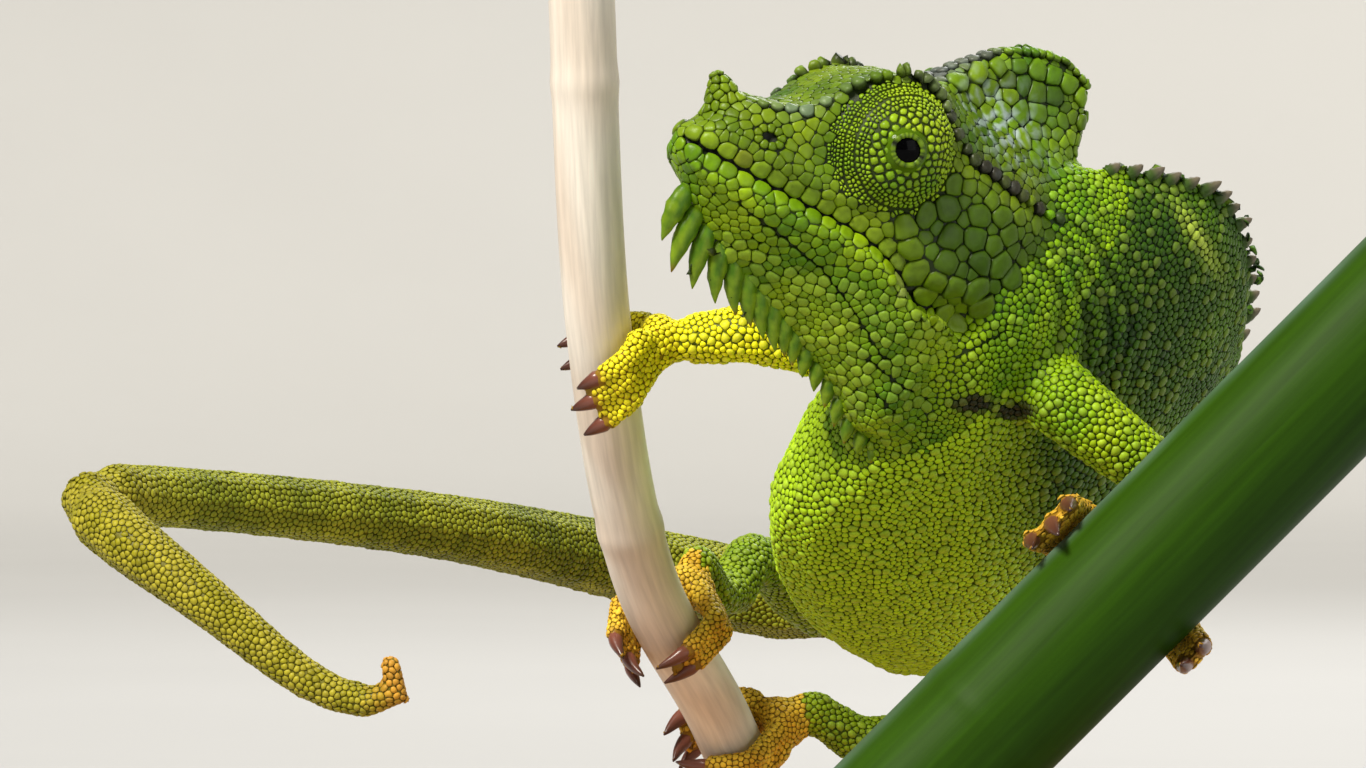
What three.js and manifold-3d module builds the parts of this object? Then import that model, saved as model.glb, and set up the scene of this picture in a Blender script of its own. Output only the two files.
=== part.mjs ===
// A high-casqued chameleon at life size, gripping two plant stems on a plain display stand.
// Millimetres, +Z up. The animal looks along -X and a little towards -Y.
// The row's origin is the middle of the stand's underside; ANIMAL_ORIGIN is the animal's own.

import * as THREE from 'three';
import { LoftGeometry } from 'three/addons/geometries/LoftGeometry.js';
import { mergeVertices } from 'three/addons/utils/BufferGeometryUtils.js';
import Module from 'manifold-3d';

const wasm = await Module();
wasm.setup();

// ---- driving dimensions ----

const ANIMAL_ORIGIN = new THREE.Vector3(-16, -36, 62);
const GAP = 0.3;

// Head: its own frame has a forward along the mouth line, b to the animal's left, c up.
const HEAD_MIDDLE = new THREE.Vector3(14.3, 7.0, 20.8);
const HEAD_YAW = 30.6;
const HEAD_PITCH = 25.2;
const HEAD_ROLL = -7.9;

// Each head profile is a short list of [a, value] pairs joined by a smooth curve.
const CROWN_HEIGHT = profile([
  [15.3, -6.2], [13.4, -4.2], [11.4, -1.2], [8, -0.4], [5, 3.3], [1.5, 6.3], [-2.8, 7.2],
  [-6, 10.3], [-11, 14.3], [-15.5, 15.1], [-19, 13.6], [-20.5, 10.4],
]);
const CROWN_HALF = profile([
  [15.3, 0.5], [11, 1.5], [4, 3.8], [0, 4.4], [-3, 3.2], [-6.5, 1.5], [-11, 1.0], [-20.5, 1.3],
]);
const RIDGE_HEIGHT = profile([
  [15.3, -6.3], [11, -1.8], [7.2, -0.4], [4.6, 3.6], [1.5, 6.4], [-1.5, 6.5], [-4.6, 4.6],
  [-8, 2.7], [-20.5, 1.6],
]);
const RIDGE_HALF = profile([
  [15.3, 1.0], [11, 2.7], [5, 5.2], [1, 6.3], [-4, 6.6], [-8, 7.3], [-13, 7.2], [-17, 6.3],
  [-20.5, 4.6],
]);
const CHEEK_HEIGHT = profile([
  [15.3, -6.7], [10, -4.4], [0, -2.6], [-6, -2.8], [-12, -4.4], [-20.5, -3.6],
]);
const CHEEK_HALF = profile([
  [15.3, 1.2], [13.4, 2.9], [10, 4.2], [4, 5.4], [-1, 6.2], [-6, 7.6], [-11, 8.5], [-16, 7.6],
  [-20.5, 5.4],
]);
const LIP_HEIGHT = profile([
  [15.3, -7.0], [5, -7.4], [-1, -7.4], [-5, -8.5], [-9.2, -10.2], [-15, -9.6], [-20.5, -7.0],
]);
const LIP_HALF = profile([
  [15.3, 1.1], [13.4, 2.8], [10.3, 4.1], [5, 5.5], [0, 6.5], [-9, 7.8], [-15, 6.6],
  [-20.5, 4.4],
]);
const CASQUE_HOLLOW = profile([[2, 0], [-4, 0.5], [-9, 1.7], [-15, 1.7], [-20.5, 0.6]]);
const KEEL_HEIGHT = profile([
  [15.0, -8.3], [13.6, -9.9], [11.9, -11.3], [10.5, -12.3], [8.6, -13.1], [6.6, -13.8],
  [0, -15.7], [-4.2, -17.4], [-8, -19.0], [-12, -21.6], [-16, -22.6],
]);
const KEEL_HALF = profile([[15.0, 0.7], [8, 1.1], [0, 1.5], [-8, 2.6], [-16, 4.2]]);
const UPPER_STATIONS = [
  15.3, 14.8, 13.8, 12.4, 11, 9, 7, 5, 3, 1, -1, -3, -5.5, -8.5, -12, -15.5, -18, -19.6, -20.5,
];
const LOWER_STATIONS = [15.1, 14.4, 13.2, 11, 7, 3, -1, -3, -5.5, -8.5, -12, -16];
const CROWN_ROUND = 0.35;
const LIP_ROUND = 0.25;
const SNOUT_SHRINK = 0.45;
const NAPE_SHRINKS = [0.86, 0.62];
const CHIN_SHRINK = 0.5;
const CHEST_SHRINK = 0.8;
const CASQUE_CUT = { forward: -10, height: 6.9, slope: -0.18, front: -3.4 };
const JAW_CUT = { drop: 4.4, slope: 0.1 };
const MOUTH_GAP = 0.5;

const EYE_PLACE = -0.95;
const EYE_RADIUS = 5.6;
const EYE_BULGE = 4.7;
const EYE_SINK = 5.5;
const EYE_FLOOR = 4.3;
const EYEBALL_RADIUS = 2.4;
const LID_OPENING = 1.15;
const GAZE_FORWARD = 0.243;
const GAZE_DOWN = 0.052;

const HORN_BASE = [11.9, 0, -3.4];
const HORN_BEND = [13.3, 0, -1.9];
const HORN_TIP = [14.2, 0, -1.1];
const HORN_RADIUS = profile([[0, 2.0], [0.39, 1.6], [0.67, 1.2], [1, 0.5]]);

// The beard runs under the chin from front to rear; its spines are rooted a little inside the skin.
const BEARD_FRONT = 11.9;
const BEARD_REAR = -15;
const BEARD_SPINES = 17;
const BEARD_LENGTH = profile([
  [0, 4.2], [0.06, 5.0], [0.15, 4.7], [0.3, 4.3], [0.44, 4.0], [0.52, 2.9], [0.62, 2.3],
  [0.8, 2.0], [1, 1.1],
]);
const BEARD_LEAN = profile([[0, 0.17], [0.06, 0.1], [0.3, -0.42], [0.45, -0.38], [0.62, -0.1], [1, 0]]);
const BEARD_RADIUS = profile([[0, 0.78], [1, 0.54]]);
const BEARD_ROOT = 0.7;

// Body: the back and the belly are two curves from the neck to the hips.
const BACK_LINE = [
  [29, 10.5, 18.6], [39.2, 16.5, 18.2], [47.2, 22.5, 15.8], [50.4, 33, 8.2], [48, 50, -0.8],
  [39, 66.5, -10], [24.5, 79.5, -15.4],
];
const BELLY_LINE = [
  [17.2, 9, 0.4], [12.6, 14, -7], [8, 20, -11.8], [9.2, 32, -19.2], [15.3, 49, -24.4],
  [19.6, 65, -24.8], [14.6, 80, -22.2],
];
const BODY_HALF = profile([
  [0, 5.2], [0.12, 6.8], [0.3, 8.0], [0.5, 8.7], [0.68, 8.2], [0.84, 6.4], [1, 4.2],
]);
const BODY_LENGTH = 110;
const BACK_NARROWING = 0.24;
const BODY_SQUARENESS = 0.1;
const NECK_END = 0.15;
const TRUNK_MIDDLE = 0.5;

// The crest of small cones along the back, rooted a little inside the skin.
const CREST_HEIGHT = profile([[0, 1.8], [1, 0.9]]);
const CREST_RADIUS = 0.8;
const CREST_ROOT = 0.6;
const CREST_LEAN = 0.35;
const CREST_START = 0.11;
const CREST_END = 0.96;

// Tail: from the hips, away to the animal's right, then round and down to a small hook.
const TAIL_LINE = [
  [22, 77, -18.2], [9.4, 83, -20.5], [-2.2, 80, -18], [-22.5, 56, -13.2], [-44.8, 36, -10.2],
  [-51.7, 26, -9.9], [-50.3, 20, -11.7], [-41, 14.5, -18.5], [-31.4, 11.8, -25.6],
  [-27.3, 10.9, -27], [-24.75, 10.3, -26.7], [-23.9, 10, -25.25], [-24.9, 9.7, -23.8],
];
const TAIL_RADIUS = profile([
  [0, 5.2], [0.12, 4.4], [0.3, 3.6], [0.5, 3.05], [0.66, 2.9], [0.74, 3.0], [0.78, 2.85],
  [0.82, 2.5], [0.86, 2.2], [0.9, 1.95], [0.94, 1.7], [0.97, 1.5], [1, 1.05],
]);
const TAIL_CUTS = [0, 0.2, 0.4, 0.58, 0.78, 1];

// Stems that the feet grip, and the stand that holds them.
const FRONT_STEM = { line: [[16, -4, -37.3], [61.8, -4, 8.5]], radius: 6.4 };
const BACK_STEM = {
  line: [[-9, 20, 38], [-7.4, 28, 4.8], [-3.6, 41, -17], [3.4, 56, -31], [9, 66, -44.5]],
  radius: 2.9,
};
const STEM_RODS = [
  { place: 'front', stem: FRONT_STEM, share: 0.09, radius: 2.5, sides: 18, colour: 0x55762a },
  { place: 'back', stem: BACK_STEM, share: 0.965, radius: 1.5, sides: 10, colour: 0x9c7f63 },
];
const ROD_REACH = 0.2;
const BASE_SIZE = [96, 116, 10];
const BASE_CORNER = 9;
const BASE_EDGE = 1.2;
const ROD_SINK = 5;
const COLLAR_RADIUS = 5;
const COLLAR_HEIGHT = 4;
const STEEL = 0xb8bcc0;
const OAK = 0x4a3424;

// Feet: toe and claw sizes, and how a toe thins from its root to its claw.
const TOE_RADIUS = 1.25;
const TOE_PITCH = 1.75;
const TOE_SPLAY = 0.22;
const TOE_START = 132;
const TOE_START_REACH = 3.6;
const CLAW_LENGTH = 2.1;
const TOE_PLACES = [0, 0.36, 0.73, 0.81, 1];
const TOE_TAPER = profile([[0, 1.35], [0.4, 1.25], [0.73, 1.12], [0.81, 0.55], [1, 0.26]]);
const PALM_HALF = 1.9;
const WRIST_RADIUS = 1.85;
const WRIST_REACH = 3.4;

const GREEN = 0x6f9a1e;
const LIME = 0x8fb526;
const YELLOW = 0xc9bd22;
const OLIVE = 0x9a9a2c;
const PUPIL_BLACK = 0x140c0a;
const UP = new THREE.Vector3(0, 1, 0);
const LIMB_UP = new THREE.Vector3(0.3, 0.2, 1);
const DOME_DEPTH = 0.8;
const BLOCK_REACH = 200;

// ---- small helpers ----

function vector([x, y, z]) {
  return new THREE.Vector3(x, y, z);
}

// A smooth function through [place, value] pairs that never overshoots between them.
function profile(pairs) {
  const rows = [...pairs].sort((p, q) => p[0] - q[0]);
  const slopes = rows.slice(1).map((row, i) => (row[1] - rows[i][1]) / (row[0] - rows[i][0]));
  const bends = rows.map((row, i) => {
    const before = slopes[Math.max(i - 1, 0)];
    const after = slopes[Math.min(i, slopes.length - 1)];
    return before * after <= 0 ? 0 : (2 * before * after) / (before + after);
  });
  return (place) => {
    const x = THREE.MathUtils.clamp(place, rows[0][0], rows[rows.length - 1][0]);
    let i = 0;
    while (i < rows.length - 2 && x > rows[i + 1][0]) i += 1;
    const span = rows[i + 1][0] - rows[i][0];
    const t = (x - rows[i][0]) / span;
    const ease = t * t * (3 - 2 * t);
    const pull = t * (1 - t) * span * ((1 - t) * bends[i] - t * bends[i + 1]);
    return rows[i][1] * (1 - ease) + rows[i + 1][1] * ease + pull;
  };
}

// A closed three.js geometry as a solid for joining and cutting, faces outwards.
function solid(geometry) {
  const bare = geometry.index ? geometry.toNonIndexed() : geometry.clone();
  bare.deleteAttribute('normal');
  bare.deleteAttribute('uv');
  const merged = mergeVertices(bare, 1e-4);
  const points = merged.attributes.position.array;
  const corner = (i) => new THREE.Vector3().fromArray(points, i * 3);
  const faces = [];
  let volume = 0;
  for (let i = 0; i < merged.index.count; i += 3) {
    const [p, q, r] = merged.index.array.slice(i, i + 3);
    if (p === q || q === r || r === p) continue;
    faces.push([p, q, r]);
    volume += corner(p).dot(corner(q).cross(corner(r)));
  }
  const turned = faces.flatMap(([p, q, r]) => (volume < 0 ? [p, r, q] : [p, q, r]));
  const triVerts = new Uint32Array(turned);
  return new wasm.Manifold(new wasm.Mesh({ numProp: 3, vertProperties: points, triVerts }));
}

// A skin over sections, closed at each end by a fan to the section's middle.
function skinOver(sections) {
  const middleRing = (section) => {
    const middle = section.reduce((sum, p) => sum.add(p), new THREE.Vector3());
    middle.divideScalar(section.length);
    return section.map(() => middle);
  };
  const closed = [middleRing(sections[0]), ...sections, middleRing(sections[sections.length - 1])];
  return solid(new LoftGeometry(closed));
}

function union(solids) {
  return solids.reduce((whole, next) => whole.add(next));
}

function without(body, ...others) {
  return others.flat().reduce((whole, next) => whole.subtract(next), body);
}

// The largest piece of a solid, without the crumbs that a cut can leave.
function largest(body) {
  return body.decompose().sort((p, q) => q.volume() - p.volume())[0];
}

function meshOf(name, body, colour, roughness, metalness = 0) {
  const mesh = largest(body).getMesh();
  const geometry = new THREE.BufferGeometry();
  geometry.setAttribute('position', new THREE.BufferAttribute(mesh.vertProperties, 3));
  geometry.setIndex(new THREE.BufferAttribute(mesh.triVerts, 1));
  geometry.computeVertexNormals();
  const material = new THREE.MeshStandardMaterial({ color: colour, roughness, metalness });
  const made = new THREE.Mesh(geometry, material);
  made.name = name;
  return made;
}

function curveOf(points) {
  return new THREE.CatmullRomCurve3(points.map(vector), false, 'centripetal');
}

// A limb: a round section carried along a path from one arc share to another, or through places.
// radius is a function of the arc share, up steadies the section, and each end is domed by rings
// of the given angles or left flat.
function limb({
  path, radius, up = UP, from = 0, to = 1, steps = 10, places, sides = 10,
  domes = [true, true], rings = [38, 74], grow = 0,
}) {
  const length = path.getLength();
  const even = Array.from({ length: steps + 1 }, (_, i) => THREE.MathUtils.lerp(from, to, i / steps));
  const shares = places ?? even;
  const stations = shares.map((share) => ({ share, scale: 1, push: 0 }));
  rings.forEach((angle) => {
    const scale = Math.cos(THREE.MathUtils.degToRad(angle));
    const push = Math.sin(THREE.MathUtils.degToRad(angle));
    if (domes[0]) stations.unshift({ share: from, scale, push: -push });
    if (domes[1]) stations.push({ share: to, scale, push });
  });
  const sections = stations.map(({ share, scale, push }) => {
    const inside = THREE.MathUtils.clamp(share, 0, 1);
    const middle = path.getPointAt(inside);
    const along = path.getTangentAt(inside);
    const side = along.clone().cross(up).normalize();
    const top = side.clone().cross(along);
    const r = radius(inside) + grow;
    middle.addScaledVector(along, (share - inside) * length + push * r * DOME_DEPTH);
    return Array.from({ length: sides }, (_, j) => {
      const angle = (2 * Math.PI * j) / sides;
      return middle.clone()
        .addScaledVector(side, Math.cos(angle) * r * scale)
        .addScaledVector(top, Math.sin(angle) * r * scale);
    });
  });
  return skinOver(sections);
}

// A pointed scale: a cone with its foot at base, leaning along direction.
function spine(base, direction, length, radius, sides) {
  const cone = new THREE.ConeGeometry(radius, length, sides);
  const turn = new THREE.Quaternion().setFromUnitVectors(UP, direction.clone().normalize());
  cone.translate(0, length / 2, 0);
  cone.applyQuaternion(turn);
  cone.translate(base.x, base.y, base.z);
  return solid(cone);
}

function ellipsoid(centre, axes, radii, across, down) {
  const ball = new THREE.SphereGeometry(1, across, down);
  const [p, q, r] = axes.map((axis, i) => axis.clone().multiplyScalar(radii[i]));
  ball.applyMatrix4(new THREE.Matrix4().makeBasis(p, q, r).setPosition(centre));
  return solid(ball);
}

// A half-space as a big block: everything on the side that direction points to.
function halfSpace(point, direction) {
  const block = new THREE.BoxGeometry(BLOCK_REACH, BLOCK_REACH, BLOCK_REACH);
  const turn = new THREE.Quaternion().setFromUnitVectors(UP, direction.clone().normalize());
  block.translate(0, BLOCK_REACH / 2, 0);
  block.applyQuaternion(turn);
  block.translate(point.x, point.y, point.z);
  return solid(block);
}

// ---- the head's frame ----

const yaw = THREE.MathUtils.degToRad(HEAD_YAW);
const pitch = THREE.MathUtils.degToRad(HEAD_PITCH);
const roll = THREE.MathUtils.degToRad(HEAD_ROLL);
const LEVEL_FORWARD = new THREE.Vector3(-Math.cos(yaw), -Math.sin(yaw), 0);
const LEVEL_LEFT = new THREE.Vector3(Math.sin(yaw), -Math.cos(yaw), 0);
const FORWARD = LEVEL_FORWARD.clone().multiplyScalar(Math.cos(pitch)).setZ(Math.sin(pitch));
const LEFT = LEVEL_LEFT.clone().applyAxisAngle(FORWARD, roll);
const CROWN = FORWARD.clone().cross(LEFT);

function headPoint(a, b, c) {
  const point = HEAD_MIDDLE.clone().addScaledVector(FORWARD, a);
  return point.addScaledVector(LEFT, b).addScaledVector(CROWN, c);
}

function headDirection(a, b, c) {
  return headPoint(a, b, c).sub(HEAD_MIDDLE);
}

// A head section is mirrored left to right: half is a list of [b, c] from the top to the bottom,
// shrunk about the section's middle height.
function headSection(a, half, shrink, samples) {
  const middle = (half[0][1] + half[half.length - 1][1]) / 2;
  const flat = half.map(([b, c]) => new THREE.Vector2(b * shrink, middle + (c - middle) * shrink));
  const right = new THREE.SplineCurve(flat).getPoints(samples);
  const left = right.slice(1, -1).reverse().map((p) => new THREE.Vector2(-p.x, p.y));
  return [...right, ...left].map((p) => headPoint(a, p.x, p.y));
}

// The upper head: crown, canthal and lateral ridge, cheek and lip, from the snout to the nape.
function upperHead(grow = 0) {
  const last = UPPER_STATIONS.length - 1;
  const sections = UPPER_STATIONS.map((a, i) => {
    const napeShrink = NAPE_SHRINKS[i - last + 1] ?? 1;
    const shrink = i === 0 ? SNOUT_SHRINK : napeShrink;
    const push = i === 0 ? grow : i === last ? -grow : 0;
    const crown = CROWN_HEIGHT(a) + grow;
    const lip = LIP_HEIGHT(a) - grow;
    const crownHalf = CROWN_HALF(a) + grow;
    const ridgeHalf = RIDGE_HALF(a) + grow;
    const crownSide = crown - CROWN_ROUND;
    const ridge = Math.min(RIDGE_HEIGHT(a), crownSide - 0.15);
    const cheek = Math.min(CHEEK_HEIGHT(a), ridge - 0.3);
    const half = [
      [0, crown],
      [crownHalf, crownSide],
      [(crownHalf + ridgeHalf) / 2 - CASQUE_HOLLOW(a), (crownSide + ridge) / 2],
      [ridgeHalf, ridge],
      [CHEEK_HALF(a) + grow, cheek],
      [LIP_HALF(a) + grow, lip + LIP_ROUND],
      [0, lip],
    ];
    return headSection(a + push, half, shrink, 9);
  });
  return skinOver(sections);
}

// The lower jaw and the throat pouch: a deep V below the mouth line.
function lowerHead(grow = 0) {
  const last = LOWER_STATIONS.length - 1;
  const sections = LOWER_STATIONS.map((a, i) => {
    const shrink = i === 0 ? CHIN_SHRINK : i === last ? CHEST_SHRINK : 1;
    const push = i === 0 ? grow : i === last ? -grow : 0;
    const mouth = LIP_HEIGHT(a) - MOUTH_GAP + grow;
    const keel = KEEL_HEIGHT(a) - grow;
    const jawHalf = LIP_HALF(a) + grow;
    const keelHalf = KEEL_HALF(a) + grow;
    const half = [
      [0, mouth],
      [jawHalf - 0.15, mouth - 0.1],
      [jawHalf + 0.05, mouth - 1.6],
      [jawHalf * 0.62 + keelHalf * 0.42, (mouth + keel) / 2 - 0.4],
      [keelHalf, keel + 0.5],
      [0, keel],
    ];
    return headSection(a + push, half, shrink, 7);
  });
  return skinOver(sections);
}

// ---- head parts ----

function eyeCentre(side) {
  return headPoint(EYE_PLACE, side * EYE_SINK, 0);
}

// The turret looks out to its side and a little back and down, as a resting eye does.
function eyeAxes(side) {
  const out = headDirection(-0.04, side, -0.02).normalize();
  const up = out.clone().cross(FORWARD).multiplyScalar(side).normalize();
  return [up.clone().cross(out), up, out];
}

function turretSolid(side, grow) {
  const axes = eyeAxes(side);
  const radii = [EYE_RADIUS + grow, EYE_RADIUS + grow, EYE_BULGE + grow];
  const inside = halfSpace(headPoint(0, side * (EYE_FLOOR - grow), 0), headDirection(0, -side, 0));
  return ellipsoid(eyeCentre(side), axes, radii, 14, 7).subtract(inside);
}

// The eye itself looks a little forward of the turret's middle, to the gap between the lids.
function eyeballPlace(side) {
  const gaze = headDirection(GAZE_FORWARD, side, -GAZE_DOWN).normalize();
  const outward = gaze.dot(eyeAxes(side)[2]);
  const sideways = Math.sqrt(1 - outward ** 2);
  const surface = 1 / Math.hypot(outward / EYE_BULGE, sideways / EYE_RADIUS);
  const sink = Math.sqrt(EYEBALL_RADIUS ** 2 - LID_OPENING ** 2);
  return eyeCentre(side).addScaledVector(gaze, surface - sink);
}

function eyeballSolid(side, grow) {
  const size = EYEBALL_RADIUS + grow;
  return ellipsoid(eyeballPlace(side), eyeAxes(side), [size, size, size], 10, 6);
}

// The blunt horn on the snout, waisted under a rounded tip.
function rostralHorn() {
  const path = curveOf([HORN_BASE, HORN_BEND, HORN_TIP].map((place) => headPoint(...place).toArray()));
  return limb({ path, radius: HORN_RADIUS, up: LEFT, steps: 3, sides: 7, domes: [false, true] });
}

// The beard: long cones in front under the chin, shorter towards the chest.
function beard() {
  return Array.from({ length: BEARD_SPINES }, (_, i) => {
    const share = i / (BEARD_SPINES - 1);
    const a = THREE.MathUtils.lerp(BEARD_FRONT, BEARD_REAR, share);
    const foot = headPoint(a, 0, KEEL_HEIGHT(a) + BEARD_ROOT);
    const lean = headDirection(BEARD_LEAN(share), 0, -1);
    return spine(foot, lean, BEARD_LENGTH(share) + BEARD_ROOT, BEARD_RADIUS(share), 4);
  });
}

// ---- body ----

const backCurve = curveOf(BACK_LINE);
const bellyCurve = curveOf(BELLY_LINE);

function bodyFrame(t) {
  const back = backCurve.getPoint(t);
  const belly = bellyCurve.getPoint(t);
  const along = backCurve.getTangent(t).add(bellyCurve.getTangent(t)).normalize();
  const deep = back.clone().sub(belly);
  const out = along.clone().cross(deep).normalize();
  const middle = back.clone().add(belly).multiplyScalar(0.5);
  return { middle, half: deep.multiplyScalar(0.5), out, along };
}

// A body section is an egg, narrow along the back and full at the belly.
function bodySection(t, around, grow) {
  const { middle, half, out } = bodyFrame(t);
  const depth = half.length();
  const up = half.clone().normalize();
  return Array.from({ length: around }, (_, j) => {
    const angle = (2 * Math.PI * j) / around;
    const bulk = 1 - BACK_NARROWING * Math.cos(angle) - BODY_SQUARENESS * Math.cos(2 * angle);
    return middle.clone()
      .addScaledVector(up, Math.cos(angle) * (depth + grow))
      .addScaledVector(out, Math.sin(angle) * (BODY_HALF(t) * bulk + grow));
  });
}

function bodyLength(from, to, grow, steps, around = 16) {
  const places = Array.from({ length: steps + 1 }, (_, i) => THREE.MathUtils.lerp(from, to, i / steps));
  return skinOver(places.map((t) => bodySection(t, around, grow)));
}

// The dorsal crest: small cones in single file along the back, from the nape to the hips.
function dorsalCrest(from, to, count) {
  return Array.from({ length: count }, (_, i) => {
    const t = THREE.MathUtils.lerp(from, to, (i + 0.5) / count);
    const { half, along } = bodyFrame(t);
    const up = half.clone().normalize();
    const foot = backCurve.getPoint(t).addScaledVector(up, -CREST_ROOT);
    const lean = up.addScaledVector(along, CREST_LEAN);
    return spine(foot, lean, CREST_HEIGHT(t) + CREST_ROOT, CREST_RADIUS, 3);
  });
}

// ---- tail ----

const tailCurve = curveOf(TAIL_LINE);

function tailLength(from, to, grow, steps) {
  const domes = [from === 0, to === 1];
  return limb({ path: tailCurve, radius: TAIL_RADIUS, from, to, steps, sides: 8, domes, grow });
}

// ---- stems ----

function stemPath(stem) {
  return curveOf(stem.line);
}

function stemSolid(stem, grow, sides = 14) {
  const path = stemPath(stem);
  const overrun = grow / path.getLength();
  return limb({
    path, radius: () => stem.radius, from: -overrun, to: 1 + overrun,
    steps: stem.line.length > 2 ? 7 : 1, sides, domes: [false, false], grow,
  });
}

// ---- legs and feet ----

// A foot clasps a stem like tongs: a palm on one side, two bundles of toes round the others.
// share is the place along the stem, palm the way from the stem's axis to the palm.
function gripFrame(stem, share, palm) {
  const path = stemPath(stem);
  const along = path.getTangentAt(share);
  const outward = palm.clone().addScaledVector(along, -palm.dot(along)).normalize();
  const across = along.clone().cross(outward);
  return { axis: path.getPointAt(share), along, outward, across, stem };
}

function toeReach(stem) {
  return stem.radius + GAP + TOE_RADIUS * 1.2;
}

// One bundle: toes side by side round the stem, each ending in a hooked claw.
function toeBundle(grip, way, toes, arc, slide) {
  const reach = toeReach(grip.stem);
  const start = TOE_START / Math.max(reach, TOE_START_REACH);
  const pieces = [];
  for (let i = 0; i < toes; i += 1) {
    const offset = (i - (toes - 1) / 2) * TOE_PITCH;
    const longest = 1 - 0.1 * Math.abs(i - (toes - 1) / 2);
    const spot = (share) => {
      const angle = THREE.MathUtils.degToRad(THREE.MathUtils.lerp(start, arc * longest, share));
      const lifted = reach + 0.25 * Math.sin(Math.PI * Math.min(share, 1));
      return grip.axis.clone()
        .addScaledVector(grip.outward, Math.cos(angle) * lifted)
        .addScaledVector(grip.across, way * Math.sin(angle) * lifted)
        .addScaledVector(grip.along, offset * (1 + TOE_SPLAY * share) + slide * share);
    };
    const toe = [0, 0.5, 1].map(spot);
    const ahead = spot(1.04).sub(spot(1)).normalize();
    const hook = toe[2].clone().addScaledVector(ahead, CLAW_LENGTH);
    hook.addScaledVector(grip.outward, -CLAW_LENGTH / 4);
    const path = new THREE.CatmullRomCurve3([...toe, hook]);
    const shape = { radius: TOE_TAPER, places: TOE_PLACES, sides: 5, domes: [false, false] };
    pieces.push(limb({ path, up: grip.along, ...shape }));
  }
  return union(pieces);
}

function palmSolid(grip, length, wrist, grow) {
  const reach = toeReach(grip.stem);
  const middle = grip.axis.clone().addScaledVector(grip.outward, reach + 0.5);
  const axes = [grip.along, grip.outward, grip.across.clone().negate()];
  const radii = [length / 2, PALM_HALF, Math.min(3.6, reach * 0.62)].map((size) => size + grow);
  const path = new THREE.CatmullRomCurve3([middle.clone(), wrist.clone()]);
  const shape = { radius: () => WRIST_RADIUS, steps: 1, sides: 6, rings: [50] };
  return ellipsoid(middle, axes, radii, 8, 5).add(limb({ path, up: grip.along, grow, ...shape }));
}

// Each leg: the upper part runs through points, the lower part from its first two points to the
// wrist or ankle, and thick is its radius at the body, the elbow or knee, and the foot.
const LEGS = [
  {
    name: 'left_foreleg',
    stem: FRONT_STEM,
    share: 0.462,
    palm: new THREE.Vector3(0, 1, 0.05),
    points: [[30, 15.5, 1], [31.2, 12, -0.4], [37.4, 11.2, -5.4], [44.6, 12.3, -10.8]],
    lower: [[44.6, 12.3, -10.8], [43.2, 11.2, -13.4]],
    thick: [3.7, 2.9, 2.3],
    toes: [3, 2],
    arcs: [104, 112],
    slide: [-1.6, -1.0],
    width: 6.4,
  },
  {
    name: 'right_foreleg',
    stem: BACK_STEM,
    share: 0.36,
    palm: new THREE.Vector3(1, -0.1, 0.15),
    points: [[26, 22.5, 6.4], [23.5, 25, 6.8], [19, 27, 4.2], [14.4, 28, 2.6]],
    lower: [[14.4, 28, 2.6], [7, 27.2, 4.4]],
    thick: [3.5, 3.0, 2.7],
    toes: [3, 2],
    arcs: [96, 118],
    slide: [3.0, 1.8],
    width: 5.6,
  },
  {
    name: 'left_hindleg',
    stem: BACK_STEM,
    share: 0.86,
    palm: new THREE.Vector3(1, 0.2, 0.3),
    points: [[26, 73, -18.5], [29.6, 69, -22.4], [28, 61.5, -28.5], [25.2, 58.2, -31.6]],
    lower: [[25.2, 58.2, -31.6], [17.4, 60.4, -33.6]],
    thick: [3.7, 2.7, 2.2],
    toes: [2, 3],
    arcs: [150, 150],
    slide: [-1.0, -1.0],
    width: 5.6,
    besideTail: true,
  },
  {
    name: 'right_hindleg',
    stem: BACK_STEM,
    share: 0.69,
    palm: new THREE.Vector3(0.5, 1, 0.2),
    points: [[16.5, 78.5, -18.5], [12.8, 77, -21.2], [8.6, 69, -17.4], [6.2, 64.4, -16.4]],
    lower: [[6.2, 64.4, -16.4], [3.4, 57.6, -20.4]],
    thick: [3.6, 2.6, 2.2],
    toes: [2, 3],
    arcs: [150, 150],
    slide: [-1.0, -1.0],
    width: 5.6,
    besideTail: true,
  },
];

// ---- assembly ----

const nodes = [];

function addNode(name, body, colour, roughness, metalness) {
  nodes.push(meshOf(name, body, colour, roughness, metalness));
}

// The two sides of a thin cut: what lies above the plane, and what lies GAP below it.
function cutSides(point, normal) {
  const lower = point.clone().addScaledVector(normal.clone().normalize(), -GAP);
  return [halfSpace(point, normal), halfSpace(lower, normal.clone().negate())];
}

function buildHead() {
  const head = upperHead();
  const lower = lowerHead();
  const { forward, height, slope, front } = CASQUE_CUT;
  const [above, below] = cutSides(headPoint(forward, 0, height), headDirection(slope, 0, 1));
  const [behind, ahead] = cutSides(headPoint(front, 0, 0), headDirection(-1, 0, 0));
  const sockets = [turretSolid(1, GAP), turretSolid(-1, GAP)];
  addNode('head', without(head, ...sockets).intersect(below.add(ahead)), LIME, 0.6);
  addNode('casque', head.intersect(above.intersect(behind)), GREEN, 0.6);
  addNode('rostral_horn', rostralHorn().subtract(upperHead(GAP)), LIME, 0.6);

  const jawFloor = headPoint(0, 0, LIP_HEIGHT(0) - JAW_CUT.drop);
  const [jawSpace, throatSpace] = cutSides(jawFloor, headDirection(JAW_CUT.slope, 0, 1));
  addNode('lower_jaw', lower.intersect(jawSpace), GREEN, 0.6);
  addNode('throat', union([lower, ...beard()]).intersect(throatSpace), GREEN, 0.65);

  [[1, 'left'], [-1, 'right']].forEach(([side, word]) => {
    const turret = turretSolid(side, 0).subtract(eyeballSolid(side, GAP));
    addNode(`${word}_eye_turret`, turret, LIME, 0.6);
    addNode(`${word}_eyeball`, eyeballSolid(side, 0), PUPIL_BLACK, 0.15);
  });
}

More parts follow.
